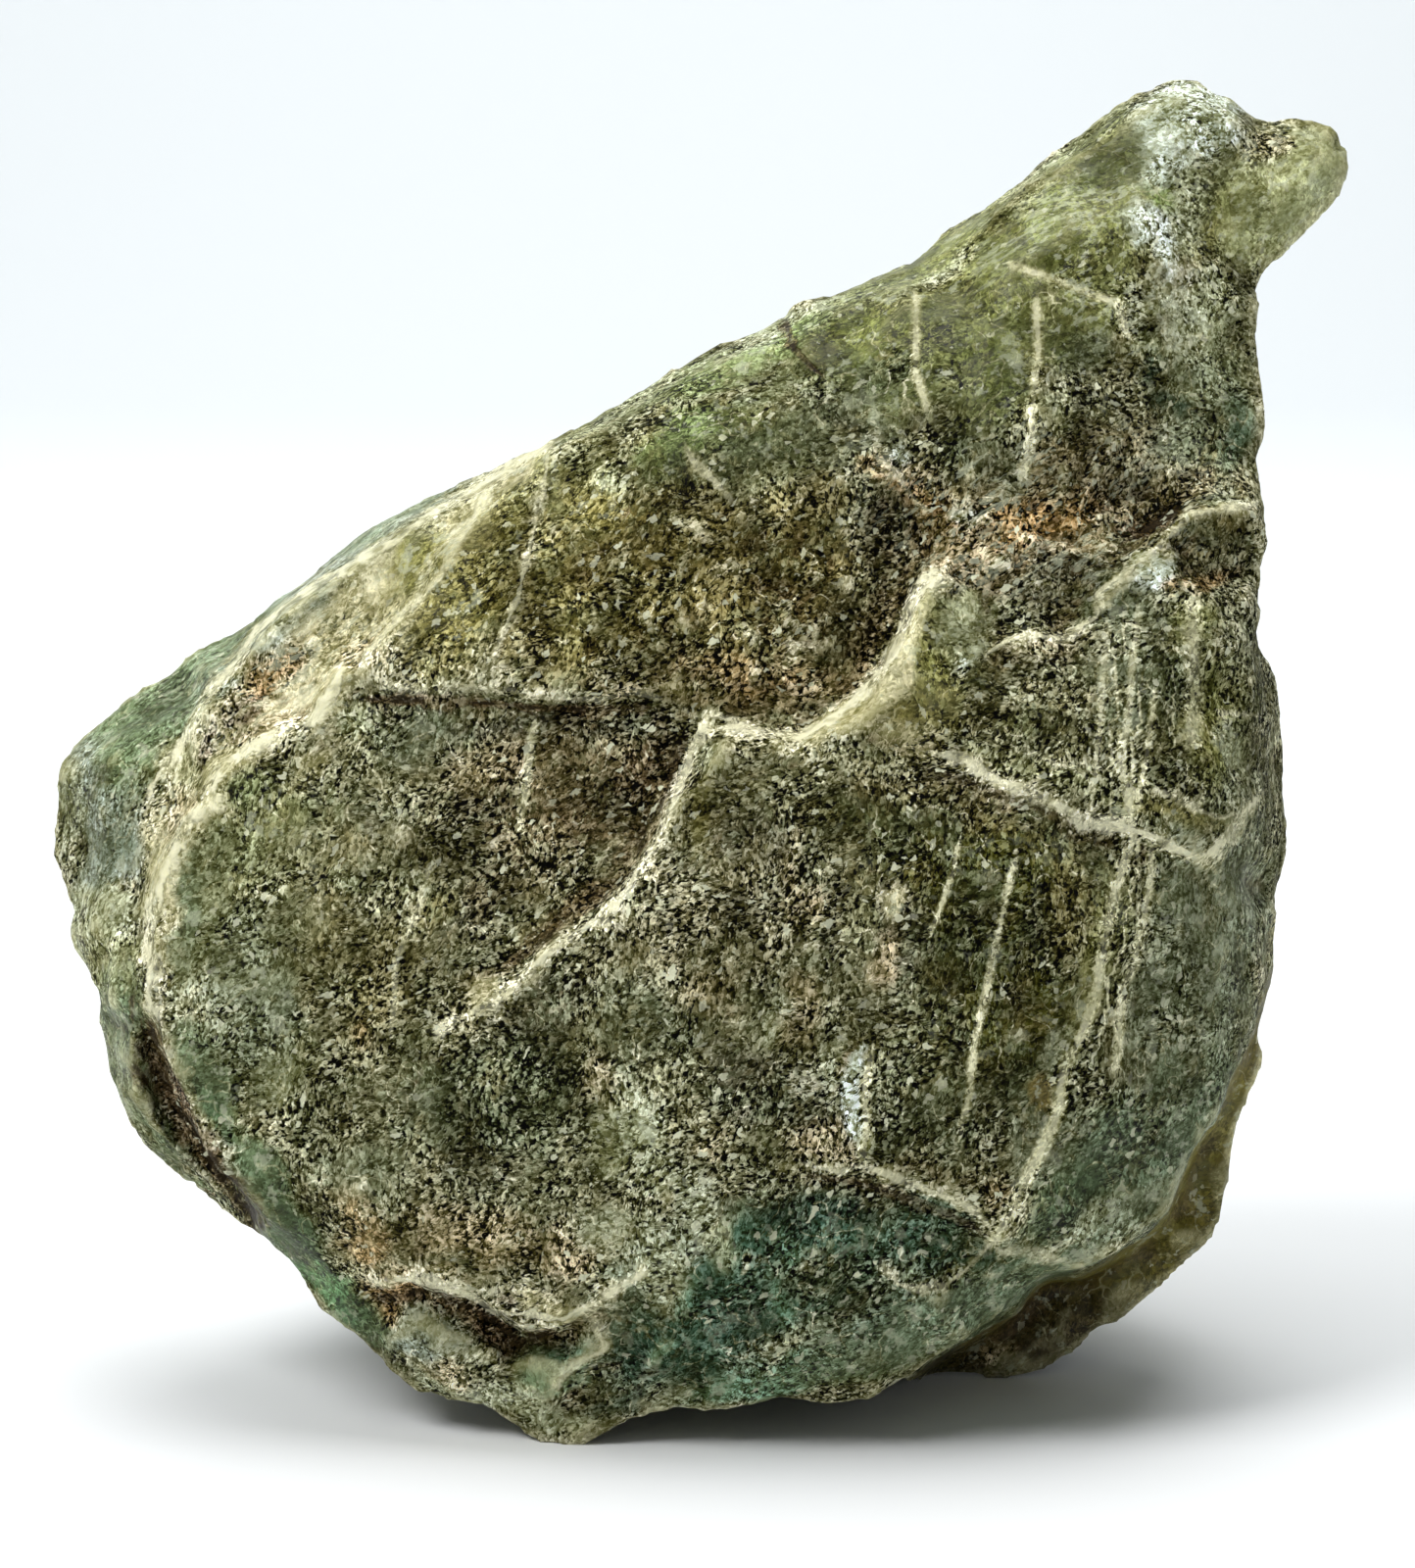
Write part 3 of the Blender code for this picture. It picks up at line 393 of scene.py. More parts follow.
# %% Strokes of the middle and the right slab
SLAB_STROKES = [
    ("warm grey", 0.3, -1.2, 1.4, 1.2, 0, 0.9),
    ("near black", 0.8, -0.55, 0.45, 0.25, -10, 0.6),
    ("near black", 0.5, -1.3, 0.4, 0.25, 30, 0.5),
    ("facet olive", 0.15, -0.4, 0.12, 0.5, -15, 0.6),
    ("tan", 1.1, -0.7, 0.15, 0.4, 0, 0.5),
    ("slate", -0.4, -2.4, 0.7, 0.6, 0, 0.7),
    ("tan", 0.2, -2.1, 0.4, 0.3, 20, 0.4),
    ("near black", 0.6, -3.1, 0.6, 0.5, 0, 0.9),
    ("bottle", 1.1, -2.3, 0.5, 0.5, 0, 0.6),
    ("lichen", 0.9, -2.4, 0.1, 0.5, -8, 0.6),
    ("tan", 0.3, -3.7, 0.3, 0.15, 0, 0.5),
    ("lichen", 1.5, -2.9, 0.14, 0.4, 0, 0.6),
    ("tan", 1.35, -3.6, 0.4, 0.25, 30, 0.8),
    ("chalk", 1.75, -3.1, 0.09, 0.45, 0, 0.9),
    ("tan", 1.68, -3.0, 0.06, 0.4, 0, 0.7),
    ("lichen", 1.8, -3.7, 0.3, 0.14, 10, 0.7),
    ("dark olive", 3.0, -1.1, 1.6, 1.1, 0, 1.0),
    ("dark olive", 3.2, -2.4, 1.1, 1.2, 0, 1.0),
    ("dark olive", 1.6, -0.3, 0.8, 0.25, -5, 0.8),
    ("near black", 2.2, -1.6, 0.35, 0.6, 0, 0.6),
    ("near black", 1.5, -1.5, 0.12, 0.6, -8, 0.6),
    ("near black", 2.75, -2.3, 0.12, 0.8, -8, 0.6),
    ("near black", 3.45, -1.7, 0.14, 0.9, -8, 0.6),
    ("near black", 1.15, -3.2, 0.4, 0.4, 0, 0.6),
    ("brown olive", 3.9, -1.3, 0.3, 0.8, 0, 0.5),
    ("shelf shade", 2.6, -0.2, 1.2, 0.16, -14, 0.7),
    ("bottle", 2.5, -3.3, 0.7, 0.6, 0, 0.8),
    ("veil", 2.2, -2.6, 0.3, 0.12, 10, 0.7),
    ("veil", 2.6, -3.1, 0.5, 0.1, 30, 0.4),
    ("veil", 2.75, -0.7, 0.07, 0.3, -5, 0.8),
    ("cream", 2.08, -1.25, 0.1, 0.18, 0, 0.9),
    ("cream", 2.0, -1.85, 0.13, 0.16, 0, 1.0),
    ("slate", 3.6, -3.5, 0.5, 0.7, 0, 0.8),
    ("rust", 3.72, -3.12, 0.12, 0.18, 0, 1.0),
    ("straw", 4.05, -2.1, 0.12, 0.8, -10, 0.5),
    ("olive", 4.3, -1.5, 0.25, 0.8, -8, 0.6),
    ("rim grey", 5.0, -1.1, 0.4, 0.9, 0, 0.8),
    ("slate", 4.95, -2.4, 0.6, 1.2, -8, 0.9),
    ("rim grey", 5.6, -1.4, 0.35, 1.7, -5, 0.9),
    ("flank shade", 4.5, -3.7, 0.7, 0.6, 40, 1.0),
    ("deep mint", 3.9, -4.2, 0.5, 0.4, 40, 0.8),
    ("deep mint", 4.9, -3.1, 0.25, 0.4, 0, 0.4),
    ("umber", 4.8, -3.55, 0.08, 0.08, 0, 0.8),
    ("flank shade", 3.5, -4.95, 1.6, 0.4, 30, 1.0),
    ("flank shade", 5.1, -3.7, 1.2, 0.35, 65, 0.9),
    ("flank shade", 2.2, -5.65, 1.4, 0.3, 17, 0.8),
    ("rim grey", 4.6, -4.3, 0.8, 0.16, 42, 0.9),
    ("lichen", 3.9, -4.6, 0.8, 0.1, 30, 0.7),
    ("lichen", 3.2, -4.3, 0.1, 0.5, -35, 0.5),
    ("rust", 3.15, -4.2, 0.15, 0.2, 0, 0.4),
    ("brown grey", 2.4, -3.95, 0.8, 0.12, -12, 0.7),
    ("dark olive", 3.1, -1.6, 0.6, 0.7, 0, 0.7),
    ("tan", 1.2, -1.25, 0.22, 0.3, 0, 0.8),
    ("tan", 1.15, -2.3, 0.25, 0.4, 0, 0.6),
    ("bottle", 0.9, -3.2, 0.5, 0.25, 0, 0.6),
    ("teal", 2.7, -4.75, 0.7, 0.2, -5, 0.7),
    ("ochre", 3.74, -3.12, 0.16, 0.16, 0, 0.9),
    ("slate", 4.9, -3.0, 0.3, 0.5, 0, 0.5),
    ("flank shade", 3.2, -5.65, 0.9, 0.14, 22, 0.5),
]
print("strokes of the slab", len(SLAB_STROKES))

# %% [markdown]
# ## The shelf and the slope above it
#
# The shelf over the crevice is brown with iron stain. Its right side, deep in the corner under the wall
# above it, is darkened to near black, which is painted shade. The slope above it turns from moss to pale
# green at the outline, where light comes through the edge.

# %% Strokes of the shelf and the upper left slope
SHELF_STROKES = [
    ("shelf brown", -0.7, 2.0, 1.6, 1.3, 0, 1.0),
    ("shelf brown", 0.8, 2.0, 1.3, 1.1, 0, 0.9),
    ("facet olive", -1.0, 2.9, 0.45, 0.5, 70, 0.7),
    ("shelf shade", -0.6, 1.5, 0.6, 0.4, 0, 0.8),
    ("shelf shade", -0.3, 2.5, 0.5, 0.5, 0, 0.4),
    ("olive", -1.3, 1.9, 0.25, 0.7, 10, 0.5),
    ("tan", 0.1, 1.75, 0.4, 0.1, -20, 0.4),
    # These two near black strokes paint the shade deep in the corner under the wall at the shelf's right.
    ("near black", 1.4, 1.6, 0.7, 0.5, 10, 0.9),
    ("near black", 2.0, 2.55, 0.35, 0.45, 0, 0.9),
    ("shelf shade", 1.1, 2.3, 0.7, 0.4, 0, 0.7),
    ("moss", 0.3, 3.45, 1.1, 0.5, 10, 1.0),
    ("leaf", -0.1, 3.5, 0.5, 0.25, 20, 0.6),
    ("shelf brown", 1.3, 2.9, 0.6, 0.4, 0, 0.7),
    ("veil", -0.6, 3.85, 1.0, 0.14, 32, 0.8),
    ("pale olive", -1.0, 3.35, 0.35, 0.4, 0, 0.8),
    ("veil", -0.7, 3.1, 0.3, 0.12, -30, 0.6),
    ("straw", -1.45, 3.2, 0.14, 0.45, 10, 0.7),
    ("slate", 1.6, 3.7, 0.7, 0.5, 15, 0.8),
    ("near black", 1.5, 3.8, 0.5, 0.12, -30, 0.6),
    ("veil", 0.6, 4.25, 0.8, 0.2, 28, 0.9),
    ("veil", 1.3, 4.0, 0.3, 0.1, 10, 0.6),
    ("rust", 0.5, 1.05, 1.1, 0.25, 0, 0.8),
    ("tan", -0.2, 0.98, 0.9, 0.12, -5, 0.9),
    ("tan", 0.9, 1.15, 0.5, 0.14, 10, 0.6),
    ("red brown", 1.6, 0.9, 0.5, 0.12, 35, 0.6),
    ("warm grey", -0.25, 1.3, 0.6, 0.3, 0, 0.7),
    ("facet olive", -0.6, 1.75, 0.5, 0.4, 0, 0.4),
]
print("strokes of the shelf", len(SHELF_STROKES))

# %% [markdown]
# ## The horn and the tongue
#
# The horn is the waxiest part, a clear yellow-green. Its tip is bruised to chalk white, and the tongue
# beside the tip is so thin that it glows.

# %% Strokes of the horn, its tip and the tongue
HORN_STROKES = [
    ("horn shade", 1.7, 4.5, 0.8, 0.5, 20, 1.0),
    ("horn olive", 2.1, 4.7, 0.8, 0.3, 20, 0.7),
    ("veil", 1.7, 4.95, 0.7, 0.14, 25, 0.8),
    ("lichen", 2.5, 5.3, 0.6, 0.16, 33, 0.9),
    ("horn shade", 2.2, 4.1, 0.5, 0.4, 0, 0.8),
    ("horn olive", 3.0, 4.6, 0.9, 0.6, 10, 0.9),
    ("horn shade", 3.1, 4.0, 0.5, 0.4, 0, 0.9),
    ("horn shade", 4.0, 4.6, 0.5, 0.35, 20, 0.9),
    ("horn olive", 3.6, 5.5, 1.3, 0.45, 37, 1.0),
    ("horn olive", 4.3, 6.2, 1.1, 0.5, 40, 1.0),
    ("horn shade", 3.6, 5.3, 0.4, 0.14, 20, 0.5),
    ("leaf", 4.85, 6.05, 0.14, 0.3, 10, 0.9),
    ("leaf", 3.9, 5.9, 0.6, 0.2, 38, 0.3),
    ("lichen", 3.0, 5.75, 0.5, 0.1, 38, 0.7),
    ("veil", 4.0, 6.55, 0.8, 0.1, 38, 0.7),
    ("horn olive", 4.3, 5.4, 0.5, 0.35, 10, 0.7),
    ("pale olive", 4.3, 4.7, 0.3, 0.5, 10, 0.7),
    ("tan", 4.4, 4.5, 0.12, 0.4, -20, 0.6),
    ("chalk", 4.9, 6.9, 0.5, 0.3, 60, 0.9),
    ("chalk", 5.35, 6.85, 0.45, 0.35, -20, 0.8),
    ("chalk", 5.1, 6.55, 0.6, 0.4, 20, 0.8),
    ("chalk", 4.62, 5.75, 0.16, 0.3, 0, 0.8),
    ("chalk", 4.95, 5.35, 0.14, 0.5, 20, 0.7),
    ("tan", 5.1, 5.0, 0.2, 0.5, 10, 0.6),
    ("horn olive", 5.4, 5.95, 0.45, 0.6, 10, 1.0),
    ("facet olive", 5.35, 5.5, 0.25, 0.4, -30, 0.5),
    ("tongue", 6.25, 6.1, 0.9, 0.7, 40, 1.0),
    ("tongue", 5.9, 5.6, 0.5, 0.4, 50, 0.9),
    ("leaf", 6.1, 5.9, 0.7, 0.2, 48, 0.2),
    ("tan", 5.95, 6.55, 0.3, 0.16, 20, 0.6),
    ("veil", 5.3, 4.8, 0.35, 0.45, 0, 0.8),
    ("rim grey", 5.4, 4.0, 0.45, 0.6, 0, 0.8),
    ("deep teal", 4.75, 4.3, 0.22, 0.24, 30, 0.9),
    ("deep teal", 4.95, 3.85, 0.3, 0.14, -30, 0.8),
    ("pale olive", 3.6, 3.7, 0.4, 0.3, 0, 0.4),
    ("slate", 2.9, 3.35, 0.4, 0.4, 0, 0.8),
    ("horn shade", 2.0, 4.25, 0.3, 0.4, 0, 0.8),
    ("horn shade", 4.3, 6.3, 0.5, 0.25, 40, 0.6),
    ("lichen", 5.2, 4.8, 0.35, 0.45, 0, 0.7),
    ("rim grey", 4.15, 4.45, 0.3, 0.4, 0, 0.7),
    ("lichen", 5.35, 6.3, 0.25, 0.4, 0, 0.7),
    ("veil", 0.9, 4.05, 0.5, 0.12, 28, 0.6),
    ("brown grey", 4.1, 3.4, 0.8, 0.4, 12, 0.9),
    ("bottle", 5.35, 3.45, 0.5, 0.35, 0, 0.9),
    ("teal", 5.6, 3.6, 0.2, 0.5, 0, 0.6),
]
print("strokes of the horn", len(HORN_STROKES))

# %% [markdown]
# ## The rough hollow and the seam panel
#
# Under the horn a hollow is torn out of the stone, brown and rust with pale chips. The panel below it
# lies between two jagged ledges and is grey-green with pale threads.

# %% Strokes of the rough hollow and the seam panel
HOLLOW_STROKES = [
    ("brown grey", 3.6, 2.6, 2.0, 0.8, 8, 1.0),
    ("tan", 2.25, 3.1, 0.3, 0.3, -40, 0.9),
    ("chalk", 2.15, 3.35, 0.12, 0.2, -20, 0.6),
    ("chalk", 2.88, 2.68, 0.12, 0.1, 0, 0.9),
    ("rust", 2.6, 2.6, 0.4, 0.25, -30, 0.9),
    ("tan", 2.75, 2.4, 0.4, 0.25, -20, 0.9),
    ("slate", 3.3, 2.9, 0.2, 0.6, -5, 0.7),
    ("rust", 3.7, 2.6, 0.8, 0.14, 22, 0.9),
    ("tan", 4.1, 2.55, 0.6, 0.14, 22, 0.7),
    ("brown grey", 4.6, 2.95, 0.7, 0.2, 18, 0.8),
    ("umber", 4.75, 2.7, 0.4, 0.1, 33, 0.9),
    ("near black", 3.8, 2.15, 0.5, 0.2, 10, 0.7),
    ("near black", 3.4, 1.9, 0.3, 0.14, -10, 0.6),
    ("shelf brown", 5.35, 2.6, 0.4, 0.25, 0, 1.0),
    ("shelf shade", 5.35, 2.35, 0.4, 0.14, 0, 0.9),
    ("rust", 5.2, 2.1, 0.5, 0.1, -8, 0.8),
    ("olive", 2.45, 1.2, 0.32, 0.95, -18, 1.0),
    ("facet olive", 2.45, 0.8, 0.6, 0.4, -10, 0.9),
    ("cream", 1.75, 0.74, 0.85, 0.22, 38, 1.0),
    ("cream", 2.25, 1.3, 0.14, 0.7, -20, 0.9),
    ("straw", 2.5, 1.6, 0.14, 0.6, -10, 0.6),
    ("lichen", 2.9, 1.6, 0.2, 0.45, 5, 0.9),
    ("chalk", 2.85, 1.35, 0.12, 0.2, 0, 0.7),
    ("tan", 3.15, 1.9, 0.25, 0.2, 0, 0.6),
    ("rim grey", 4.4, 1.85, 0.4, 0.25, 30, 0.7),
    ("chalk", 4.75, 2.2, 0.16, 0.2, -20, 0.9),
    ("lichen", 5.5, 2.9, 0.4, 0.08, 5, 0.7),
    ("dark olive", 3.0, 0.95, 0.3, 0.35, 0, 1.0),
    ("olive grey", 4.1, 1.0, 1.0, 0.8, 0, 0.9),
    ("near black", 3.5, 1.35, 0.35, 0.25, 10, 0.7),
    ("dark olive", 3.5, 0.6, 0.6, 0.25, -15, 0.8),
    ("rust", 4.2, 1.5, 0.3, 0.12, 0, 0.5),
    ("slate", 4.9, 1.3, 0.4, 0.6, 0, 0.8),
    ("olive", 5.35, 0.6, 0.4, 0.8, 0, 0.9),
    ("dark olive", 4.9, 0.4, 0.2, 0.5, 0, 0.8),
    ("dark olive", 5.3, -0.3, 0.5, 0.1, -10, 0.5),
    ("lichen", 5.55, 0.2, 0.1, 0.6, 0, 0.6),
    ("pale olive", 3.6, 0.12, 1.1, 0.12, -17, 0.8),
    ("facet olive", 4.9, -0.3, 0.9, 0.14, -14, 0.8),
    ("lichen", 4.5, -0.15, 0.25, 0.25, 0, 0.6),
    ("straw", 2.85, 1.65, 0.3, 0.35, 0, 0.9),
    ("tan", 1.9, 1.6, 0.2, 0.5, -35, 0.7),
    ("cream", 2.2, 0.45, 0.45, 0.16, -12, 0.7),
    ("slate", 4.25, 1.5, 0.35, 0.7, 0, 0.6),
    ("brown grey", 5.35, 3.15, 0.5, 0.18, 5, 0.8),
    ("pale olive", 5.6, 1.0, 0.2, 0.5, 0, 0.6),
]
print("strokes of the hollow and the panel", len(HOLLOW_STROKES))

# %% [markdown]
# ## Last touches
#
# When the regions are laid on, a painter steps back and goes over the whole front once more, where it
# came out too dark, too light or too green. These strokes are kept apart, because they lie over the
# others and belong to no region.

# %% Last touches all over the front
LAST_TOUCHES = [
    ("lichen", 2.9, 1.6, 0.35, 0.4, 0, 1.0),
    ("bottle", 2.0, 4.15, 0.4, 0.35, 0, 0.9),
    ("slate", 4.4, 1.0, 0.35, 0.5, 0, 0.9),
    ("slate", 4.4, 1.95, 0.35, 0.3, 0, 0.9),
    ("lichen", 5.15, 5.85, 0.25, 0.45, 0, 0.9),
    ("lichen", -0.75, -3.7, 0.35, 0.35, 0, 0.9),
    ("lichen", -0.25, -4.9, 0.35, 0.45, 0, 0.9),
    ("lichen", -1.8, -6.25, 0.5, 0.2, 0, 0.9),
    # Painted shade deep inside the left crack.
    ("near black", -4.8, -3.8, 0.35, 0.35, 0, 0.9),
    ("tan", -4.2, 0.58, 0.5, 0.2, 20, 0.8),
    ("pale olive", -5.08, 0.2, 0.2, 0.3, 0, 0.8),
    ("lichen", -4.55, -1.9, 0.4, 0.35, 0, 0.7),
    ("lichen", -4.15, -2.95, 0.3, 0.35, 0, 0.7),
    ("tan", 1.3, 0.95, 0.6, 0.16, 20, 0.9),
    ("tan", 1.8, 1.4, 0.15, 0.3, 0, 0.6),
    ("cream", -2.05, -2.15, 0.35, 0.15, 35, 0.7),
    ("warm grey", -2.45, -0.55, 0.35, 0.35, 0, 0.8),
    ("tan", -2.15, -4.75, 0.35, 0.15, 0, 0.8),
    ("chalk", 5.4, 6.6, 0.25, 0.2, 0, 0.6),
    ("lichen", 4.8, 4.95, 0.3, 0.25, 0, 0.8),
    ("horn olive", 3.95, 5.85, 0.6, 0.2, 38, 0.9),
    ("horn shade", 3.05, 4.4, 0.35, 0.3, 0, 0.9),
    ("horn olive", 2.5, 5.45, 1.2, 0.22, 33, 0.9),
    ("lichen", 2.2, 5.45, 0.8, 0.1, 30, 0.7),
    ("leaf", 0.6, 4.35, 1.1, 0.2, 26, 0.7),
    ("lichen", 0.8, 4.6, 1.0, 0.1, 26, 0.7),
    ("horn olive", 4.1, 4.9, 0.4, 0.4, 0, 0.7),
    ("horn olive", 4.3, 5.85, 0.5, 0.25, 40, 0.8),
    ("shelf brown", -0.1, 2.3, 0.9, 0.6, 0, 0.6),
    ("slate", 4.3, 1.6, 0.25, 0.6, 0, 0.7),
    ("brown grey", 3.55, 1.3, 0.4, 0.2, 0, 0.8),
    ("bottle", -2.6, -1.25, 0.35, 0.3, 0, 0.8),
    ("red brown", 1.1, 1.55, 0.35, 0.3, 0, 0.7),
    ("rust", 2.15, 3.05, 0.5, 0.14, -40, 0.8),
    ("rust", 3.5, 2.75, 0.7, 0.2, 10, 0.8),
    ("tan", 4.7, 2.9, 0.5, 0.12, 12, 0.7),
    ("olive", 5.15, 1.6, 0.25, 0.35, 0, 0.7),
    ("cream", 2.1, -1.2, 0.16, 0.24, 0, 0.9),
    ("tan", 2.05, -1.85, 0.2, 0.26, 0, 0.9),
    ("chalk", 1.76, -3.35, 0.12, 0.45, 0, 0.8),
    ("tan", 1.65, -3.75, 0.2, 0.16, 0, 0.8),
    ("slate", 5.3, 2.55, 0.3, 0.2, 0, 0.7),
    ("mint", -4.15, -4.5, 1.0, 0.22, -54, 0.9),
    ("bright mint", -3.75, -5.1, 0.3, 0.14, -54, 0.7),
    ("flank grey", -2.65, -5.65, 0.45, 0.3, -20, 0.85),
    ("flank green", -1.45, -5.95, 0.4, 0.35, 0, 0.85),
    ("sea", -1.2, -5.75, 0.3, 0.14, 20, 0.7),
    ("tan", -2.45, -6.05, 0.35, 0.12, -30, 0.7),
    ("lichen", -1.35, -6.5, 0.45, 0.2, -15, 0.9),
    ("shelf brown", 0.0, 1.9, 2.2, 1.1, 0, 0.5),
    # Painted shade, darker towards the shelf's deep right side.
    ("shelf shade", 1.0, 1.9, 0.6, 0.5, 0, 0.5),
    ("slate", 0.5, 3.3, 0.7, 0.35, 20, 0.6),
    ("veil", 0.9, 3.1, 0.5, 0.14, 30, 0.4),
    ("rim grey", -4.4, -0.9, 1.0, 1.3, 0, 0.45),
    ("rim grey", -4.6, -2.4, 0.7, 1.0, 0, 0.35),
    ("lichen", 0.25, 0.28, 0.25, 0.14, 0, 0.8),
    ("lichen", -0.3, -4.0, 0.3, 0.3, 0, 0.8),
    ("tan", 1.8, 1.35, 0.2, 0.3, 0, 0.8),
    ("brown grey", 3.6, 1.35, 0.4, 0.2, 0, 0.8),
    ("slate", 4.55, 1.95, 0.25, 0.3, 0, 0.8),
    ("lichen", -2.5, -6.15, 0.4, 0.14, -30, 0.8),
    ("lichen", 2.88, 1.55, 0.25, 0.2, 0, 0.7),
    ("shelf shade", 1.1, 1.55, 0.35, 0.18, 0, 0.6),
    ("slate", 5.5, 3.1, 0.15, 0.3, 0, 0.8),
    ("slate", 4.9, 3.5, 0.3, 0.3, 0, 0.7),
    ("lichen", 3.85, -2.75, 0.25, 0.2, 0, 0.5),
    ("veil", 4.6, 4.5, 0.3, 0.2, 0, 0.7),
    ("olive grey", 4.28, 1.37, 0.25, 0.2, 0, 0.7),
    ("shelf brown", -2.6, -1.25, 0.3, 0.25, 0, 0.6),
    ("slate", -5.1, -3.9, 0.25, 0.25, 45, 0.6),
]
FRONT_STROKES = (
    FLANK_STROKES + LEFT_PLATE_STROKES + LOWER_STROKES + SLAB_STROKES
    + SHELF_STROKES + HORN_STROKES + HOLLOW_STROKES + LAST_TOUCHES
)
print("strokes on the drawn side", len(FRONT_STROKES))

# %% [markdown]
# ## Colours as the renderer wants them
#
# A tone chosen on a screen is bent by the screen's curve, and the renderer counts light in a straight
# line, so every tone is straightened once. The lamps, and the pale specks that go on later, shift the
# mean of a patch, so red, green and blue each get one factor, the same for every tone.
#
# A stroke on its own is a clean oval, which no stone has. Slow noise, a coarse and a fine layer of it,
# pushes the paper about under the strokes and frays their edges. Blender shifts this kind of noise by
# the clock unless it is given a seed, and the stone has to come out the same every time.

# %% Colours and slow noise
TONE_GAIN = np.array((0.90, 0.915, 0.77))
SCREEN_KNEE = 0.04045
SCREEN_SLOPE = 12.92
SCREEN_LIFT = 0.055
SCREEN_POWER = 2.4
SEED_SLANT = (1.0, 2.3, -1.7)
NOISE_SEED = 3
noise.seed_set(NOISE_SEED)


def straight(tone):
    """A screen tone of 0 to 255 as the renderer's red, green and blue."""
    part = np.array(tone) / 255
    bent = ((part + SCREEN_LIFT) / (1 + SCREEN_LIFT)) ** SCREEN_POWER
    return np.where(part <= SCREEN_KNEE, part / SCREEN_SLOPE, bent)


def wander(size, seed):
    """Rows of three slowly changing numbers from about -1 to 1, one row for each point."""
    shift = Vector([seed * slant for slant in SEED_SLANT])
    return np.array([noise.noise_vector(Vector(place) / size + shift) for place in PLACES])


print("olive grey for the renderer", straight(TONES["olive grey"][0]).round(3))

# %% Lay the strokes on
FIRST_TONE, FIRST_WAX = TONES["olive grey"]
STROKE_CORE = 0.45
STROKE_END = 1.15
FRAY = 0.16
FRAY_SIZE = 0.004
FINE_FRAY = 0.5
FINER = 3
fray = wander(FRAY_SIZE, seed=11) + FINE_FRAY * wander(FRAY_SIZE / FINER, seed=12)
tint = np.tile(straight(FIRST_TONE), (POINTS, 1))
waxy = np.full(POINTS, FIRST_WAX)


def lay(name, covered):
    """Covers the stone with a tone, as strongly as a column of 0 to 1 says."""
    colour, wax = TONES[name]
    tint[:] += covered[:, None] * (straight(colour) - tint)
    waxy[:] += covered * (wax - waxy)


def lay_strokes(strokes, where):
    """Lays strokes on, in order, where a column of 0 to 1 lets them."""
    for name, across, up, long_half, wide_half, turn, cover in strokes:
        angle = math.radians(turn)
        right = ACROSS + FRAY * fray[:, 0] - across
        high = UP + FRAY * fray[:, 1] - up
        along = (right * math.cos(angle) + high * math.sin(angle)) / long_half
        beside = (high * math.cos(angle) - right * math.sin(angle)) / wide_half
        reach = np.hypot(along, beside)
        lay(name, cover * where * (1 - soft_step(reach, STROKE_CORE, STROKE_END)))


lay_strokes(FRONT_STROKES, FRONT)
print("mean waxiness", round(float(waxy.mean()), 2))

# %% [markdown]
# ## The side that is turned away
#
# Nothing shows the back, so it gets the tones of the front in patches of its own: slow wandering
# values pick brown, moss, grey and mint.

# %% Tones of the back
BACK_PATCH = 0.022
BACK_COVER = 0.8
hidden = 1 - FRONT
patch = wander(BACK_PATCH, seed=31)
BACK_TONES = [
    ("brown grey", patch[:, 0], 0.02, 0.22),
    ("moss", patch[:, 1], 0.05, 0.25),
    ("rim grey", patch[:, 2], 0.05, 0.25),
    ("deep mint", -patch[:, 0], 0.18, 0.32),
]
for name, wandering, low, high in BACK_TONES:
    lay(name, BACK_COVER * hidden * soft_step(wandering, low, high))
print("mean waxiness with the back", round(float(waxy.mean()), 2))

# %% [markdown]
# ## The rear lump
#
# The rear lump shows past the rim of the right slab. It is a waxy deep ochre with a darker, browner foot,
# where the slab overhangs it and it meets the floor; that darker foot is painted shade. Its strokes would
# also fall on the slab in front of it, so they reach only what lies deep, low and to the right.

# %% Strokes of the rear lump
REAR_DEPTH = (-6.0, 2.0)
REAR_TOP = (-1.4, -0.6)
REAR_LEFT = (1.6, 2.2)
REAR_STROKES = [
    ("ochre", 4.6, -4.2, 3.6, 4.8, 0, 1.0),
    ("straw", 5.1, -3.9, 0.35, 1.3, -25, 0.35),
    # The lump shade strokes at its foot are painted shade under the slab's overhang.
    ("lump shade", 3.6, -5.7, 1.1, 0.55, 20, 0.85),
    ("lump shade", 3.3, -6.05, 1.0, 0.4, 10, 1.0),
    ("tan", 3.15, -5.75, 0.2, 0.14, 0, 0.8),
    ("shelf shade", 4.9, -5.3, 0.5, 0.14, 50, 0.5),
]
deep = 1 - soft_step(RELIEF, *REAR_DEPTH)
rear = deep * (1 - soft_step(UP, *REAR_TOP)) * soft_step(ACROSS, *REAR_LEFT)
lay_strokes(REAR_STROKES, rear)
print("points of the rear lump", int((rear > 0.5).sum()))

# %% [markdown]
# ## Rough and streaky places
#
# The hollow, the shelf and two corners are broken roughest. The horn, the flank, the hollow and the
# tongue have pale streaks that all lean one way. Both kinds of place are marked as soft ovals on the
# paper, by a centre and half its width and height in squares, because a slow change over the surface
# needs no outline.

# %% Mark the rough and the streaky places
ROUGH_PLACES = [
    (3.6, 2.6, 2.4, 1.0),
    (0.4, 2.0, 2.2, 1.2),
    (-4.6, 0.6, 0.6, 0.4),
    (-2.0, -5.5, 0.9, 0.4),
]
STREAKY_PLACES = [
    (3.6, 2.8, 2.2, 1.3),
    (4.4, 5.3, 1.8, 1.5),
    (-4.6, 1.6, 2.0, 1.4),
    (5.9, 5.9, 1.0, 1.0),
]
ROUGH_FADE = (0.5, 1.1)
STREAKY_FADE = (0.4, 1.1)


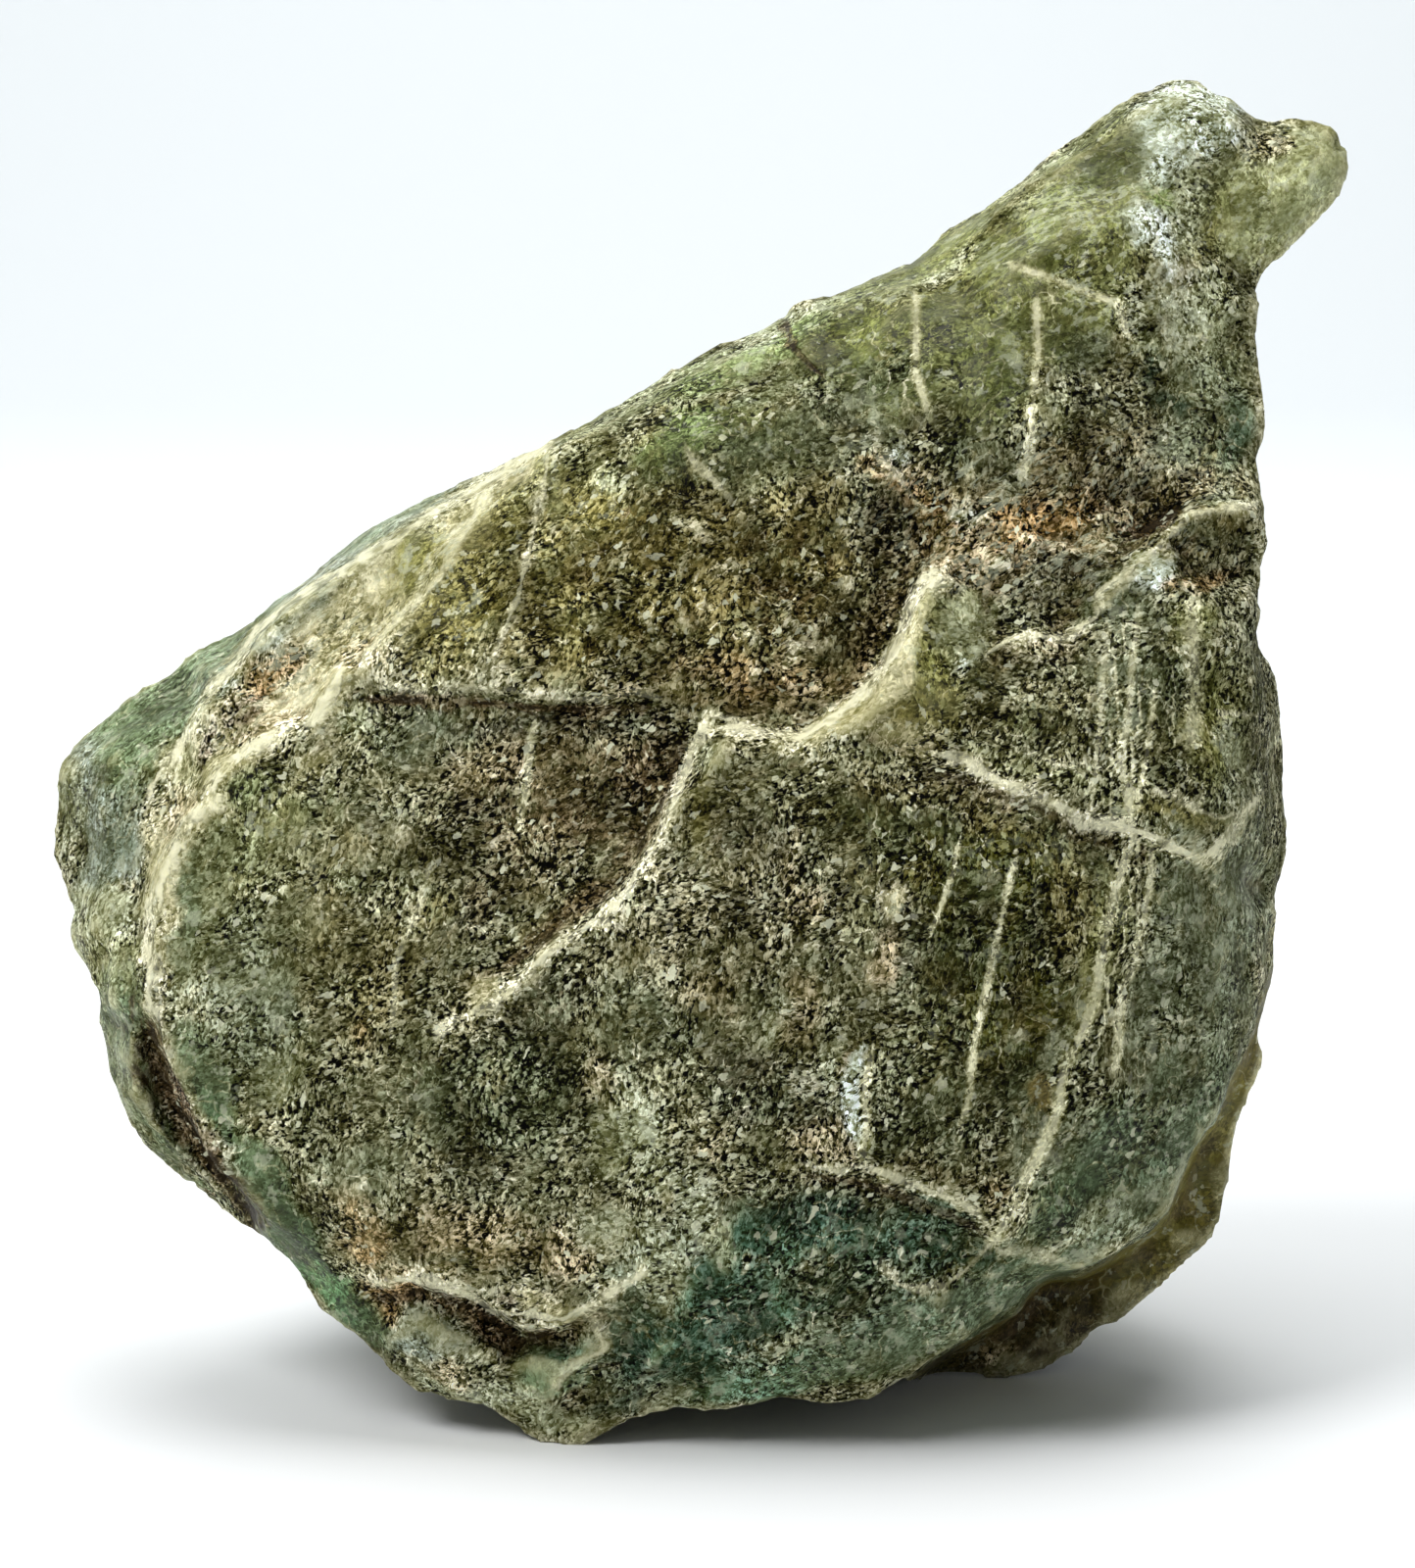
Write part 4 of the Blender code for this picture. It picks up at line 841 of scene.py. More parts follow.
def ovals(marked, fade):
    """A column that is 1 inside the ovals on the drawn side and fades out towards their edges."""
    column = np.zeros(POINTS)
    for across, up, half_across, half_up in marked:
        reach = np.hypot((ACROSS - across) / half_across, (UP - up) / half_up)
        column = np.maximum(column, FRONT * (1 - soft_step(reach, *fade)))
    return column


rough = ovals(ROUGH_PLACES, ROUGH_FADE)
streaky = ovals(STREAKY_PLACES, STREAKY_FADE)
print("rough points", int((rough > 0.5).sum()), "streaky points", int((streaky > 0.5).sum()))

# %% [markdown]
# ## Broken grain in the surface
#
# Seen close, the broken faces are heaps of grains one to three millimetres across, each cut off at
# its own angle, with thin flakes lifting in steps. Bump alone would leave the outline and the
# shadows smooth, so the points themselves move: tilted grains, small lumps and stepped flakes. Waxy
# places move least and the rough places most, and the flat feet stay flat.

# %% Heights of the grains and the flakes
GRAIN_SIZE = 0.0024
GRAIN_TILT = 0.12
NEXT_CELL = 7.3
LUMP_SIZE = 0.0016
LUMP_HEIGHT = 0.00007
FLAKE_SIZE = 0.0075
FLAKE_STEP = 0.00022
FLAKE_LEVELS = 3.2
RAGGED_SHARE = 0.3
RAGGED_LEVELS = 0.5
LIP_SHARE = 0.35


def grain_height(place):
    """Height in metres of the tilted grain that holds a place, and of the lumps on it."""
    point = Vector(place)
    centre = noise.voronoi(point / GRAIN_SIZE)[1][0]
    tilt = 2 * noise.cell_vector(centre * NEXT_CELL) - Vector((1, 1, 1))
    slope = (point / GRAIN_SIZE - centre).dot(tilt) * GRAIN_TILT * GRAIN_SIZE
    return slope + LUMP_HEIGHT * noise.noise(point / LUMP_SIZE)


def flake_level(place):
    """How many flakes a place stands above or below the rest, with a fraction."""
    point = Vector(place)
    level = FLAKE_LEVELS * noise.noise(point / FLAKE_SIZE)
    return level + RAGGED_LEVELS * noise.noise(point / (RAGGED_SHARE * FLAKE_SIZE))


grains = np.array([grain_height(place) for place in PLACES])
levels = np.array([flake_level(place) for place in PLACES])
whole = np.floor(levels)
flakes = FLAKE_STEP * (whole + soft_step(levels - whole, 0, LIP_SHARE))
print("flake levels", int(whole.min()), "to", int(whole.max()))

# %% Move the points
WAXY_CALM = 0.8
ROUGH_EXTRA = 1.0
FOOT_HEIGHT = 0.0006
FOOT_FADE = 4
amount = (1 - WAXY_CALM * waxy) * (1 + ROUGH_EXTRA * rough)
lift = amount * (grains + flakes)
lift = lift * soft_step(PLACES[:, 2], FOOT_HEIGHT, FOOT_FADE * FOOT_HEIGHT)
moved = PLACES + directions() * lift[:, None]
moved[:, 2] = np.maximum(moved[:, 2], 0)
stone_mesh.vertices.foreach_set("co", moved.ravel())
stone_mesh.update()
print("grain moves points by", round(1000 * float(np.abs(lift).max()), 2), "mm at most")

# %% [markdown]
# ## Ridges and gaps
#
# Worn stone is pale where it sticks out, because edges chip and dust away. Where it falls back it is
# darker, partly from dirt that stays there and partly from painted shade in the dips. The difference
# between a point and the average of the points around it tells which is which, at a small scale for
# grains and a larger one for ledges. The small one lightens the tops of the grains and darkens the gaps
# between them, as painted light and shade.

# %% Measure what sticks out
RIDGE_ROUNDS = (3, 16)
RIDGE_SCALE = (0.00010, 0.00035)
now = places()
outward = directions()
standing = [
    np.clip(((now - spread(now, rounds)) * outward).sum(axis=1) / scale, -1, 1)
    for rounds, scale in zip(RIDGE_ROUNDS, RIDGE_SCALE)
]
print("ridge points", [int((column > 0.5).sum()) for column in standing])

# %% [markdown]
# ## Veins, bright rims, and dark lines of dirt and painted shadow
#
# Some marks are lines: pale veins across the slab, bright rims along the ledges and dark lines in the
# cracks. The rims are pale chipped stone, with a painted highlight along their edges where their walls
# face the lamps. The dark lines are dirt in the cracks and painted shadow under the ledges and rims. A
# colour laid on points would be as blurred as the mesh, so each point instead
# stores how far it is from the nearest line, counted in widths of that line. The distance has a sign
# for the side, so that it runs through 0 between two points on either side, and the material cuts a
# sharp band out of it. A second number says how strongly the line is there. It fades at the ends, and
# away from the line past twice its width or past 1.3 mm, whichever is more.
#
# Veins keep an even width. Rims, ledges and cracks swell and thin, as a chipped edge does.

# %% The veins
# Each line has its width in mm to the left and to the right of its direction, its strength, and its
# points across and up.
VEINS = [
    (0.65, 0.7, 1.0, [(4.50, 0.57), (4.43, 0.23), (4.52, -0.2), (4.57, -0.57), (4.47, -0.81),
                      (4.37, -1.16), (4.30, -1.51), (4.23, -1.85), (4.19, -2.20), (4.12, -2.36),
                      (3.98, -2.67), (3.84, -2.94), (3.81, -3.32), (3.67, -3.67), (3.50, -3.98),
                      (3.36, -4.30), (3.15, -4.68)]),
    (0.50, 0.50, 0.8, [(4.75, -0.6), (4.75, -0.88), (4.68, -1.33), (4.57, -1.85), (4.47, -2.01),
                       (4.43, -2.39), (4.38, -2.94)]),
    (0.40, 0.40, 0.9, [(3.36, -0.81), (3.26, -1.16), (3.19, -1.51), (3.12, -1.85), (3.05, -2.20),
                       (2.94, -2.67), (2.89, -3.19), (2.80, -3.53)]),
    (0.30, 0.30, 0.9, [(2.77, -0.64), (2.72, -0.92), (2.61, -1.23), (2.49, -1.51)]),
    (0.5, 0.5, 0.8, [(2.35, 4.95), (2.34, 4.20), (2.46, 3.86)]),
    (0.5, 0.5, 0.9, [(3.57, 4.90), (3.60, 4.41), (3.55, 3.96), (3.53, 3.61), (3.43, 3.09)]),
    (0.45, 0.45, 1.0, [(3.32, 5.30), (3.74, 5.16), (4.02, 5.04), (4.43, 4.90), (4.50, 4.58)]),
    (0.50, 0.50, 0.60, [(-1.55, 0.6), (-1.6, 0.2), (-1.7, -0.45)]),
    (0.45, 0.45, 0.4, [(-2.6, -0.8), (-2.75, -1.3), (-2.95, -1.8), (-3.0, -2.5)]),
    (0.50, 0.50, 0.9, [(1.9, -2.75), (1.82, -3.1), (1.85, -3.5), (1.8, -3.85)]),
    (0.4, 0.4, 0.5, [(4.62, 1.75), (4.55, 1.2), (4.50, 0.57)]),
    (0.4, 0.4, 0.5, [(4.30, 1.6), (4.25, 0.9), (4.20, 0.35), (4.14, -0.26)]),
    (0.35, 0.35, 0.8, [(4.78, 0.9), (4.70, 0.3), (4.62, -0.15)]),
    (0.9, 0.9, 0.6, [(5.15, 1.8), (5.2, 1.1), (5.15, 0.4)]),
]
print("veins", len(VEINS))

# %% The bright rims: pale chipped stone with painted highlights
RIMS = [
    (0.9, 0.5, 0.8, [(-1.42, 3.48), (-2.02, 3.13), (-2.30, 2.93), (-2.68, 2.72), (-2.93, 2.51),
                     (-3.27, 2.34), (-3.55, 2.16), (-3.90, 1.96), (-4.17, 1.75), (-4.38, 1.61),
                     (-4.56, 1.30), (-4.83, 0.98), (-5.04, 0.57), (-5.32, 0.19), (-5.49, -0.09)]),
    (1.2, 0.6, 0.9, [(-3.55, 1.12), (-3.65, 0.92), (-3.83, 0.64), (-4.17, 0.55), (-4.38, 0.43),
                     (-4.66, 0.22), (-4.80, 0.05), (-4.87, -0.23), (-5.11, -0.37), (-5.21, -0.61),
                     (-5.32, -0.85), (-5.39, -1.09), (-5.46, -1.29), (-5.47, -1.78), (-5.49, -2.23),
                     (-5.44, -2.37)]),
    (1.15, 0.5, 1.0, [(2.51, 2.20), (2.30, 1.90), (2.20, 1.60), (2.05, 1.30), (1.85, 0.98),
                      (1.50, 0.70), (1.15, 0.48), (0.60, 0.58), (0.25, 0.76), (0.10, 0.50),
                      (0.02, 0.22)]),
    (0.55, 0.4, 0.75, [(0.02, 0.22), (-0.10, -0.10), (-0.22, -0.42), (-0.42, -0.80), (-0.70, -1.20)]),
    (1.0, 0.5, 1.0, [(-0.70, -1.20), (-1.05, -1.48), (-1.45, -1.75), (-1.75, -2.02), (-2.05, -2.25),
                     (-2.51, -2.47)]),
    (0.6, 0.9, 0.9, [(2.49, 0.33), (2.84, 0.26), (3.19, 0.05), (3.53, -0.08), (3.88, -0.26),
                     (4.09, -0.38), (4.37, -0.40), (4.71, -0.50), (4.99, -0.64), (5.27, -0.74),
                     (5.40, -0.67), (5.53, -0.47), (5.72, -0.26), (5.84, -0.14)]),
    (0.4, 0.8, 0.55, [(3.08, 1.34), (3.29, 1.48), (3.50, 1.54), (3.85, 1.49), (4.02, 1.61),
                      (4.19, 1.70), (4.19, 1.96), (4.37, 2.10), (4.54, 2.20), (4.68, 2.34),
                      (4.85, 2.45), (5.02, 2.62), (5.13, 2.79), (5.34, 2.78), (5.47, 2.84),
                      (5.75, 2.86), (5.86, 2.90)]),
    (0.6, 0.4, 0.6, [(1.26, -3.89), (1.57, -3.98), (1.78, -3.89), (2.09, -4.01), (2.51, -4.17),
                     (2.92, -4.34), (3.06, -4.48)]),
    (0.9, 0.4, 0.8, [(-3.17, -5.10), (-2.8, -5.05), (-2.3, -5.2), (-1.9, -5.4), (-1.26, -5.47),
                     (-0.9, -5.3), (-0.43, -5.0)]),
]
print("rims", len(RIMS))

# %% The ledges
# The ledges' thin bright edges are painted highlights, where they face the lamps.
LEDGES = [
    (0.6, 1.2, 0.85, [(-2.02, 2.93), (-2.30, 2.51), (-2.48, 2.13), (-2.75, 1.85), (-3.0, 1.61),
                      (-3.24, 1.33), (-3.34, 1.05)]),
    (0.5, 0.5, 0.55, [(-1.41, 3.50), (-1.43, 3.15), (-1.48, 2.96), (-1.55, 2.61), (-1.62, 2.34),
                      (-1.70, 1.96), (-1.90, 1.44), (-1.97, 1.26)]),
    (0.6, 0.3, 0.25, [(-3.20, 1.0), (-3.0, 0.97), (-2.55, 0.93), (-2.10, 0.93), (-1.79, 0.95),
                      (-1.58, 0.88), (-1.17, 0.86), (-0.86, 0.86), (-0.54, 0.95), (-0.37, 0.88),
                      (-0.13, 0.83), (0.08, 0.67)]),
    (0.4, 0.4, 0.7, [(4.85, -0.08), (5.13, -0.22), (5.47, -0.36), (5.58, -0.29)]),
    (0.4, 0.4, 0.4, [(3.74, 0.23), (4.02, 0.12), (4.16, -0.02), (4.14, -0.26)]),
    (0.3, 0.3, 0.9, [(5.47, 0.73), (5.82, 0.70)]),
    (0.6, 0.4, 0.8, [(2.02, -4.93), (2.16, -5.11), (2.37, -5.17), (2.61, -5.14), (2.85, -4.97),
                     (3.09, -4.72)]),
    (0.5, 0.5, 0.5, [(3.22, -4.78), (3.43, -4.76), (4.02, -4.92)]),
    (0.4, 0.6, 0.7, [(-1.33, -6.13), (-1.16, -5.92), (-0.98, -5.85), (-0.81, -5.78), (-0.95, -5.54)]),
    (0.5, 0.5, 0.7, [(0.02, 3.4), (0.1, 3.25), (0.3, 3.1), (0.42, 2.95)]),
    (0.4, 0.6, 0.6, [(2.0, 3.3), (2.15, 3.2), (2.25, 3.0), (2.45, 2.8)]),
]
print("ledges", len(LEDGES))

# %% The cracks, and the painted shadows under ledges and rims
# Some of these are cracks with dirt in them. The lines under the plate's top ledge, along the left side
# of the rib and under the rims are painted shadow.
CRACKS_AND_SHADOWS = [
    (0.9, 1.0, 1.0, [(-5.46, -2.45), (-5.38, -2.9), (-5.18, -3.3), (-4.98, -3.65), (-4.76, -3.98),
                     (-4.52, -4.25), (-4.35, -4.5)]),
    (0.4, 0.4, 0.9, [(-5.60, -2.90), (-5.50, -3.05)]),
    (0.35, 0.6, 1.0, [(-3.2, 0.87), (-2.55, 0.85), (-2.0, 0.83), (-1.5, 0.78), (-0.9, 0.76),
                      (-0.4, 0.78)]),
    (0.6, 0.6, 0.8, [(-3.1, -5.25), (-2.6, -5.15), (-2.1, -5.4), (-1.7, -5.7), (-1.4, -5.6)]),
    (0.5, 0.4, 0.9, [(4.50, 2.48), (4.68, 2.58), (4.99, 2.76)]),
    (0.4, 0.4, 1.0, [(1.03, 4.67), (1.10, 4.45), (1.34, 4.2)]),
    (0.3, 0.8, 0.5, [(2.5, 0.15), (3.0, 0.0), (3.6, -0.22), (4.2, -0.52)]),
    (0.3, 0.6, 0.6, [(1.3, -4.0), (1.7, -4.05), (2.1, -4.15), (2.6, -4.33), (3.0, -4.55)]),
    (0.3, 1.0, 0.6, [(0.0, 0.45), (-0.12, 0.15), (-0.35, -0.5), (-0.7, -1.05), (-1.3, -1.5),
                     (-1.9, -1.95)]),
    (0.8, 0.3, 0.35, [(0.5, 1.0), (1.1, 0.95), (1.5, 1.15), (1.85, 1.55), (2.0, 1.9), (2.12, 2.35)]),
    (0.3, 0.3, 0.8, [(-5.65, -2.16), (-5.65, -2.4)]),
]
print("cracks", len(CRACKS_AND_SHADOWS))

# %% Measure the distance to the lines
END_FADE = 0.12
FARTHEST = 8.0
LEAST_REACH = 1.3
REACH_WIDTHS = 2
REACH_FADE = 1.5
UNEVEN_SIZE = 0.0028
UNEVEN_BY = 2.0
UNEVEN_RANGE = (0.6, 1.9)
NOWHERE = 1e9
UNEVEN = np.clip(1 + UNEVEN_BY * wander(UNEVEN_SIZE, seed=41)[:, 0], *UNEVEN_RANGE)
PAPER_X, PAPER_Y = on_paper(now)[:2]


def beside_piece(start, end):
    """Columns in squares: how far along a straight piece and to the right of it, and its length."""
    (x0, y0), (x1, y1) = start, end
    length = math.hypot(x1 - x0, y1 - y0)
    ux = (x1 - x0) / length
    uy = (y1 - y0) / length
    along = (PAPER_X - x0) * ux + (PAPER_Y - y0) * uy
    beside = (PAPER_X - x0) * uy - (PAPER_Y - y0) * ux
    return along, beside, length


def beside_lines(lines, wider=1.0):
    """Columns: signed distance to the nearest line in its widths, and how strongly it is there."""
    nearest = np.full(POINTS, NOWHERE)
    side = np.full(POINTS, FARTHEST)
    here = np.zeros(POINTS)
    for left_width, right_width, strength, dots in lines:
        last = len(dots) - 2
        for step, (start, end) in enumerate(zip(dots, dots[1:])):
            along, beside, length = beside_piece(start, end)
            past = np.maximum(np.maximum(-along, along - length), 0)
            gap = np.hypot(past, beside)
            width = np.where(beside > 0, right_width, left_width) * MM / SQUARE
            open_end = np.zeros(POINTS)
            if step == 0:
                open_end = np.maximum(open_end, -along)
            if step == last:
                open_end = np.maximum(open_end, along - length)
            reach = np.maximum(REACH_WIDTHS * width, LEAST_REACH * MM / SQUARE)
            there = strength * (1 - soft_step(open_end, 0, END_FADE))
            there = there * (1 - soft_step(gap, reach, REACH_FADE * reach))
            closer = gap < nearest
            nearest[closer] = gap[closer]
            side[closer] = (np.sign(beside) * gap / (width * wider))[closer]
            here[closer] = there[closer]
    return np.clip(side, -FARTHEST, FARTHEST), here * FRONT


MEASURED = {
    "vein": beside_lines(VEINS),
    "rim": beside_lines(RIMS, UNEVEN),
    "ledge": beside_lines(LEDGES, UNEVEN),
    "crack_and_shadow": beside_lines(CRACKS_AND_SHADOWS, UNEVEN),
}
print("points near each kind", {kind: int((here > 0.3).sum()) for kind, (side, here) in MEASURED.items()})

# %% [markdown]
# ## Numbers the material can read
#
# A mesh can carry named columns of numbers, which the material reads by name. They travel with the
# stone when it is exported, and need no image.

# %% Store the columns
def store(name, column):
    """Writes a column of numbers or of colours on the stone's points."""
    if column.ndim == 1:
        stone_mesh.attributes.new(name, "FLOAT", "POINT").data.foreach_set("value", column)
        return
    full = np.ones((POINTS, 4))
    full[:, :3] = column
    stone_mesh.attributes.new(name, "FLOAT_COLOR", "POINT").data.foreach_set("color", full.ravel())


store("tint", TONE_GAIN * tint)
store("waxy", waxy)
store("streaky", streaky)
store("grain_ridge", standing[0])
store("ledge_ridge", standing[1])
for kind, (side, here) in MEASURED.items():
    store(kind + "_side", side)
    store(kind + "_here", here)
print("columns", len(stone_mesh.attributes))

# %% [markdown]
# ## Shader maths as arithmetic
#
# A material is a net of nodes, and a sum in it takes a node for every sign. The small class below
# wraps a socket, so that an ordinary expression such as 1 - mask adds the nodes by itself. Every
# other node comes from one method, which sets the node up first and then its sockets.

# %% A value of a material
class Reading:
    """A socket of a material. Arithmetic on it adds Math nodes."""

    def __init__(self, bench, socket):
        self.bench = bench
        self.socket = socket

    def _sum(self, operation, first, second):
        return self.bench.add("ShaderNodeMath", {"operation": operation}, {0: first, 1: second})

    def __add__(self, other):
        return self._sum("ADD", self, other)

    __radd__ = __add__

    def __sub__(self, other):
        return self._sum("SUBTRACT", self, other)

    def __rsub__(self, other):
        return self._sum("SUBTRACT", other, self)

    def __mul__(self, other):
        return self._sum("MULTIPLY", self, other)

    __rmul__ = __mul__

    def __lt__(self, other):
        return self._sum("LESS_THAN", self, other)

    def __abs__(self):
        return self.bench.add("ShaderNodeMath", {"operation": "ABSOLUTE"}, {0: self})

    def beside(self, out):
        """Another output of the same node."""
        return Reading(self.bench, self.socket.node.outputs[out])


print("readings can be added, taken away, multiplied and compared")

# %% [markdown]
# ## The material's workbench
#
# One object holds a material and makes its nodes. Its short methods name the few nodes that come back
# again and again, such as a soft step or one colour over another.

# %% The material's workbench
class Bench:
    """A new material and the ways to add to its nodes."""

    def __init__(self, name):
        self.material = bpy.data.materials.new(name)
        self.material.use_nodes = True
        self.nodes = self.material.node_tree.nodes
        self.links = self.material.node_tree.links
        self.nodes.clear()

    def add(self, kind, settings=None, sockets=None, out=0):
        """Adds a node with its settings, then its sockets' values or links, and gives one output."""
        node = self.nodes.new(kind)
        for key, value in (settings or {}).items():
            setattr(node, key, value)
        for key, value in (sockets or {}).items():
            if isinstance(value, Reading):
                self.links.new(value.socket, node.inputs[key])
            else:
                node.inputs[key].default_value = value
        if node.outputs:
            return Reading(self, node.outputs[out])

    def column(self, name, out="Fac"):
        """A column of numbers that the mesh carries."""
        return self.add("ShaderNodeAttribute", {"attribute_name": name}, out=out)

    def atleast(self, value, floor):
        """The value, or the floor where the value is less."""
        return self.add("ShaderNodeMath", {"operation": "MAXIMUM"}, {0: value, 1: floor})

    def atmost(self, value, ceiling):
        """The value, or the ceiling where the value is more."""
        return self.add("ShaderNodeMath", {"operation": "MINIMUM"}, {0: value, 1: ceiling})

    def power(self, value, exponent):
        """The value to a power."""
        return self.add("ShaderNodeMath", {"operation": "POWER"}, {0: value, 1: exponent})

    def step(self, value, low, high):
        """0 below low, 1 above high, and smooth between them."""
        settings = {"interpolation_type": "SMOOTHSTEP"}
        return self.add("ShaderNodeMapRange", settings, {0: value, 1: low, 2: high, 3: 0.0, 4: 1.0})

    def over(self, under, upper, mask):
        """One colour laid over another where the mask is 1."""
        return self.add("ShaderNodeMix", {"data_type": "RGBA"}, {0: mask, 6: under, 7: upper}, out=2)

    def shaded(self, colour, light):
        """A colour made darker or lighter by a number."""
        settings = {"data_type": "RGBA", "blend_type": "MULTIPLY"}
        return self.add("ShaderNodeMix", settings, {0: 1.0, 6: colour, 7: light}, out=2)

    def grey_and_blue(self, light, blue):
        """A grey light with a blue part of its own."""
        return self.add("ShaderNodeCombineColor", {}, {"Red": light, "Green": light, "Blue": blue})

    def flat(self, tone):
        """The colour of a screen tone, as a socket takes it."""
        red, green, blue = TONE_GAIN * straight(tone)
        return (red, green, blue, 1)


print("workbench ready")

# %% [markdown]
# ## The stone's grain, seen close
#
# The broken face is a mosaic. Grains half a millimetre across are each a little lighter or darker than
# the next, with nearly black gaps and a few white flecks, the white flecks being painted glints of mica.
# Cell noise gives the grains, and a
# fine wandering of its coordinates keeps them from looking like tiles. Mica lies in flakes, so the
# grains are drawn out one way, and in each chip of about three millimetres they are turned another
# way. An image could show this too, but it would have to be stretched over a closed stone.

# %% Noise and cells of a real size
stone_finish = Bench("aventurine")
spot = stone_finish.add("ShaderNodeTexCoord", out="Object")
MIDDLE = (0.5, 0.5, 0.5)


def cloud(size, detail=2.0, at=None, out=0, rough=0.5):
    """Soft noise with features of a real size in metres."""
    sockets = {"Vector": at or spot, "Scale": 1 / size, "Detail": detail, "Roughness": rough}
    return stone_finish.add("ShaderNodeTexNoise", {}, sockets, out)


def swing(size, gain, detail=2.0, at=None, rough=0.5):
    """Soft noise that swings around 0, made stronger by a gain."""
    return (cloud(size, detail, at, rough=rough) - 0.5) * gain


def cells(size, at):
    """The distance into cells of a real size in metres, with their random colour beside it."""
    sockets = {"Vector": at, "Scale": 1 / size}
    return stone_finish.add("ShaderNodeTexVoronoi", {"distance": "MANHATTAN"}, sockets, "Distance")


def vector(operation, sockets):
    """A vector sum."""
    return stone_finish.add("ShaderNodeVectorMath", {"operation": operation}, sockets)


def nudged(at, size, by, detail=1.0):
    """Coordinates moved about by noise of a size, by a distance."""
    shift = vector("SUBTRACT", {0: cloud(size, detail, at, "Color", 0.6), 1: MIDDLE})
    return vector("ADD", {0: at, 1: vector("SCALE", {0: shift, 3: by})})


def part_of(colour, channel):
    """One of a random colour's three numbers."""
    return stone_finish.add("ShaderNodeSeparateColor", {}, {0: colour}, channel)


print("nodes so far", len(stone_finish.nodes))

# %% Grains, turned from chip to chip
GRAIN = 0.00042
FINE_GRAIN = 0.00021
CRUMPLE = 0.0005
CRUMPLE_BY = 0.00045
CHIP = 0.0030
CHIP_TURN = 1.6
CHIP_TURN_FROM = 1.5
FLAKE_SHAPE = (1.0, 1.0, 0.55)
crumpled = nudged(spot, CRUMPLE, CRUMPLE_BY, detail=2.0)
chip_colour = cells(CHIP, nudged(spot, CHIP, CHIP)).beside("Color")
chip_pick = part_of(chip_colour, "Blue")
turned = stone_finish.add(
    "ShaderNodeVectorRotate",
    {"rotation_type": "Y_AXIS"},
    {"Vector": crumpled, "Angle": chip_pick * CHIP_TURN - CHIP_TURN_FROM},
)
flaky = vector("MULTIPLY", {0: turned, 1: FLAKE_SHAPE})
grain_colour = cells(GRAIN, flaky).beside("Color")
grain_pick = part_of(grain_colour, "Red")
hue_pick = part_of(grain_colour, "Green")
fine_pick = part_of(cells(FINE_GRAIN, flaky).beside("Color"), "Red")
print("nodes so far", len(stone_finish.nodes))

# %% [markdown]
# ## Bands along the lines
#
# Each kind of line has a column of distances and a column of strengths. Two bands are cut out of the
# distance: a wide soft one for the pale or brown band, and a thin ragged one for the bright edge or the
# dark core. The bright edge of rims and ledges is a painted highlight, and the brown band and dark core
# of the crack lines are dirt and painted shadow. Noise added to the distance frays both, and where the
# line is broken up they grow faint. The larger ridge column gives the worn edges of the stone and, turned
# round, its dips, darkened with dirt and painted shade.

# %% Masks of the lines, the worn edges and the dips
BAND_FRAY_SIZE = 0.0009
BAND_FRAY = 3.0
WIDE_EDGE = 1.35
THIN_EDGES = (0.65, 0.30)
THIN_FRAY = 0.5
UNBROKEN_SIZE = 0.0020
UNBROKEN_EDGES = (0.38, 0.58)
WIDE_LEAST = 0.7
THIN_LEAST = 0.2
WORN_EDGES = (0.3, 1.0)
DIP_DIRT_AND_SHADE_EDGES = (0.25, 1.0)
ragged_edge = swing(BAND_FRAY_SIZE, BAND_FRAY, rough=0.65)
unbroken = stone_finish.step(cloud(UNBROKEN_SIZE, 1.0), *UNBROKEN_EDGES)


def bands(name, softness=0.25, raggedness=0.9):
    """Two masks along a kind of line: a wide soft one and a thin ragged one."""
    side = abs(stone_finish.column(name + "_side"))
    here = stone_finish.column(name + "_here")
    wide = stone_finish.step(side + ragged_edge * raggedness, WIDE_EDGE, softness)
    thin = stone_finish.step(side + ragged_edge * THIN_FRAY, *THIN_EDGES)
    wide = wide * here * (WIDE_LEAST + (1 - WIDE_LEAST) * unbroken)
    thin = thin * here * (THIN_LEAST + (1 - THIN_LEAST) * unbroken)
    return wide, thin


vein_wide, vein_thin = bands("vein", softness=0.4, raggedness=0.4)
rim_wide, rim_chip_and_highlight = bands("rim")
ledge_wide, ledge_chip_and_highlight = bands("ledge")
crack_and_shadow_wide, crack_and_shadow_thin = bands("crack_and_shadow", softness=0.6)
standing_out = stone_finish.column("ledge_ridge")
worn = stone_finish.step(standing_out, *WORN_EDGES)
dips_dirt_and_shade = stone_finish.step(0.0 - standing_out, *DIP_DIRT_AND_SHADE_EDGES)
print("nodes so far", len(stone_finish.nodes))

# %% [markdown]
# ## Light and dark
#
# The broken face looks like sugar: every grain has its own light, and the gaps between them are
# nearly black. Fine noise and two sizes of cells are added up for that. Larger clumps make whole
# spots lighter or darker, and some spots are freshly broken, with stronger contrast. Waxy, worn and
# veined places get less of all this. A power at the end spreads the lights and crowds the darks,
# because a grain in the sun is far brighter than its neighbour in the shade.

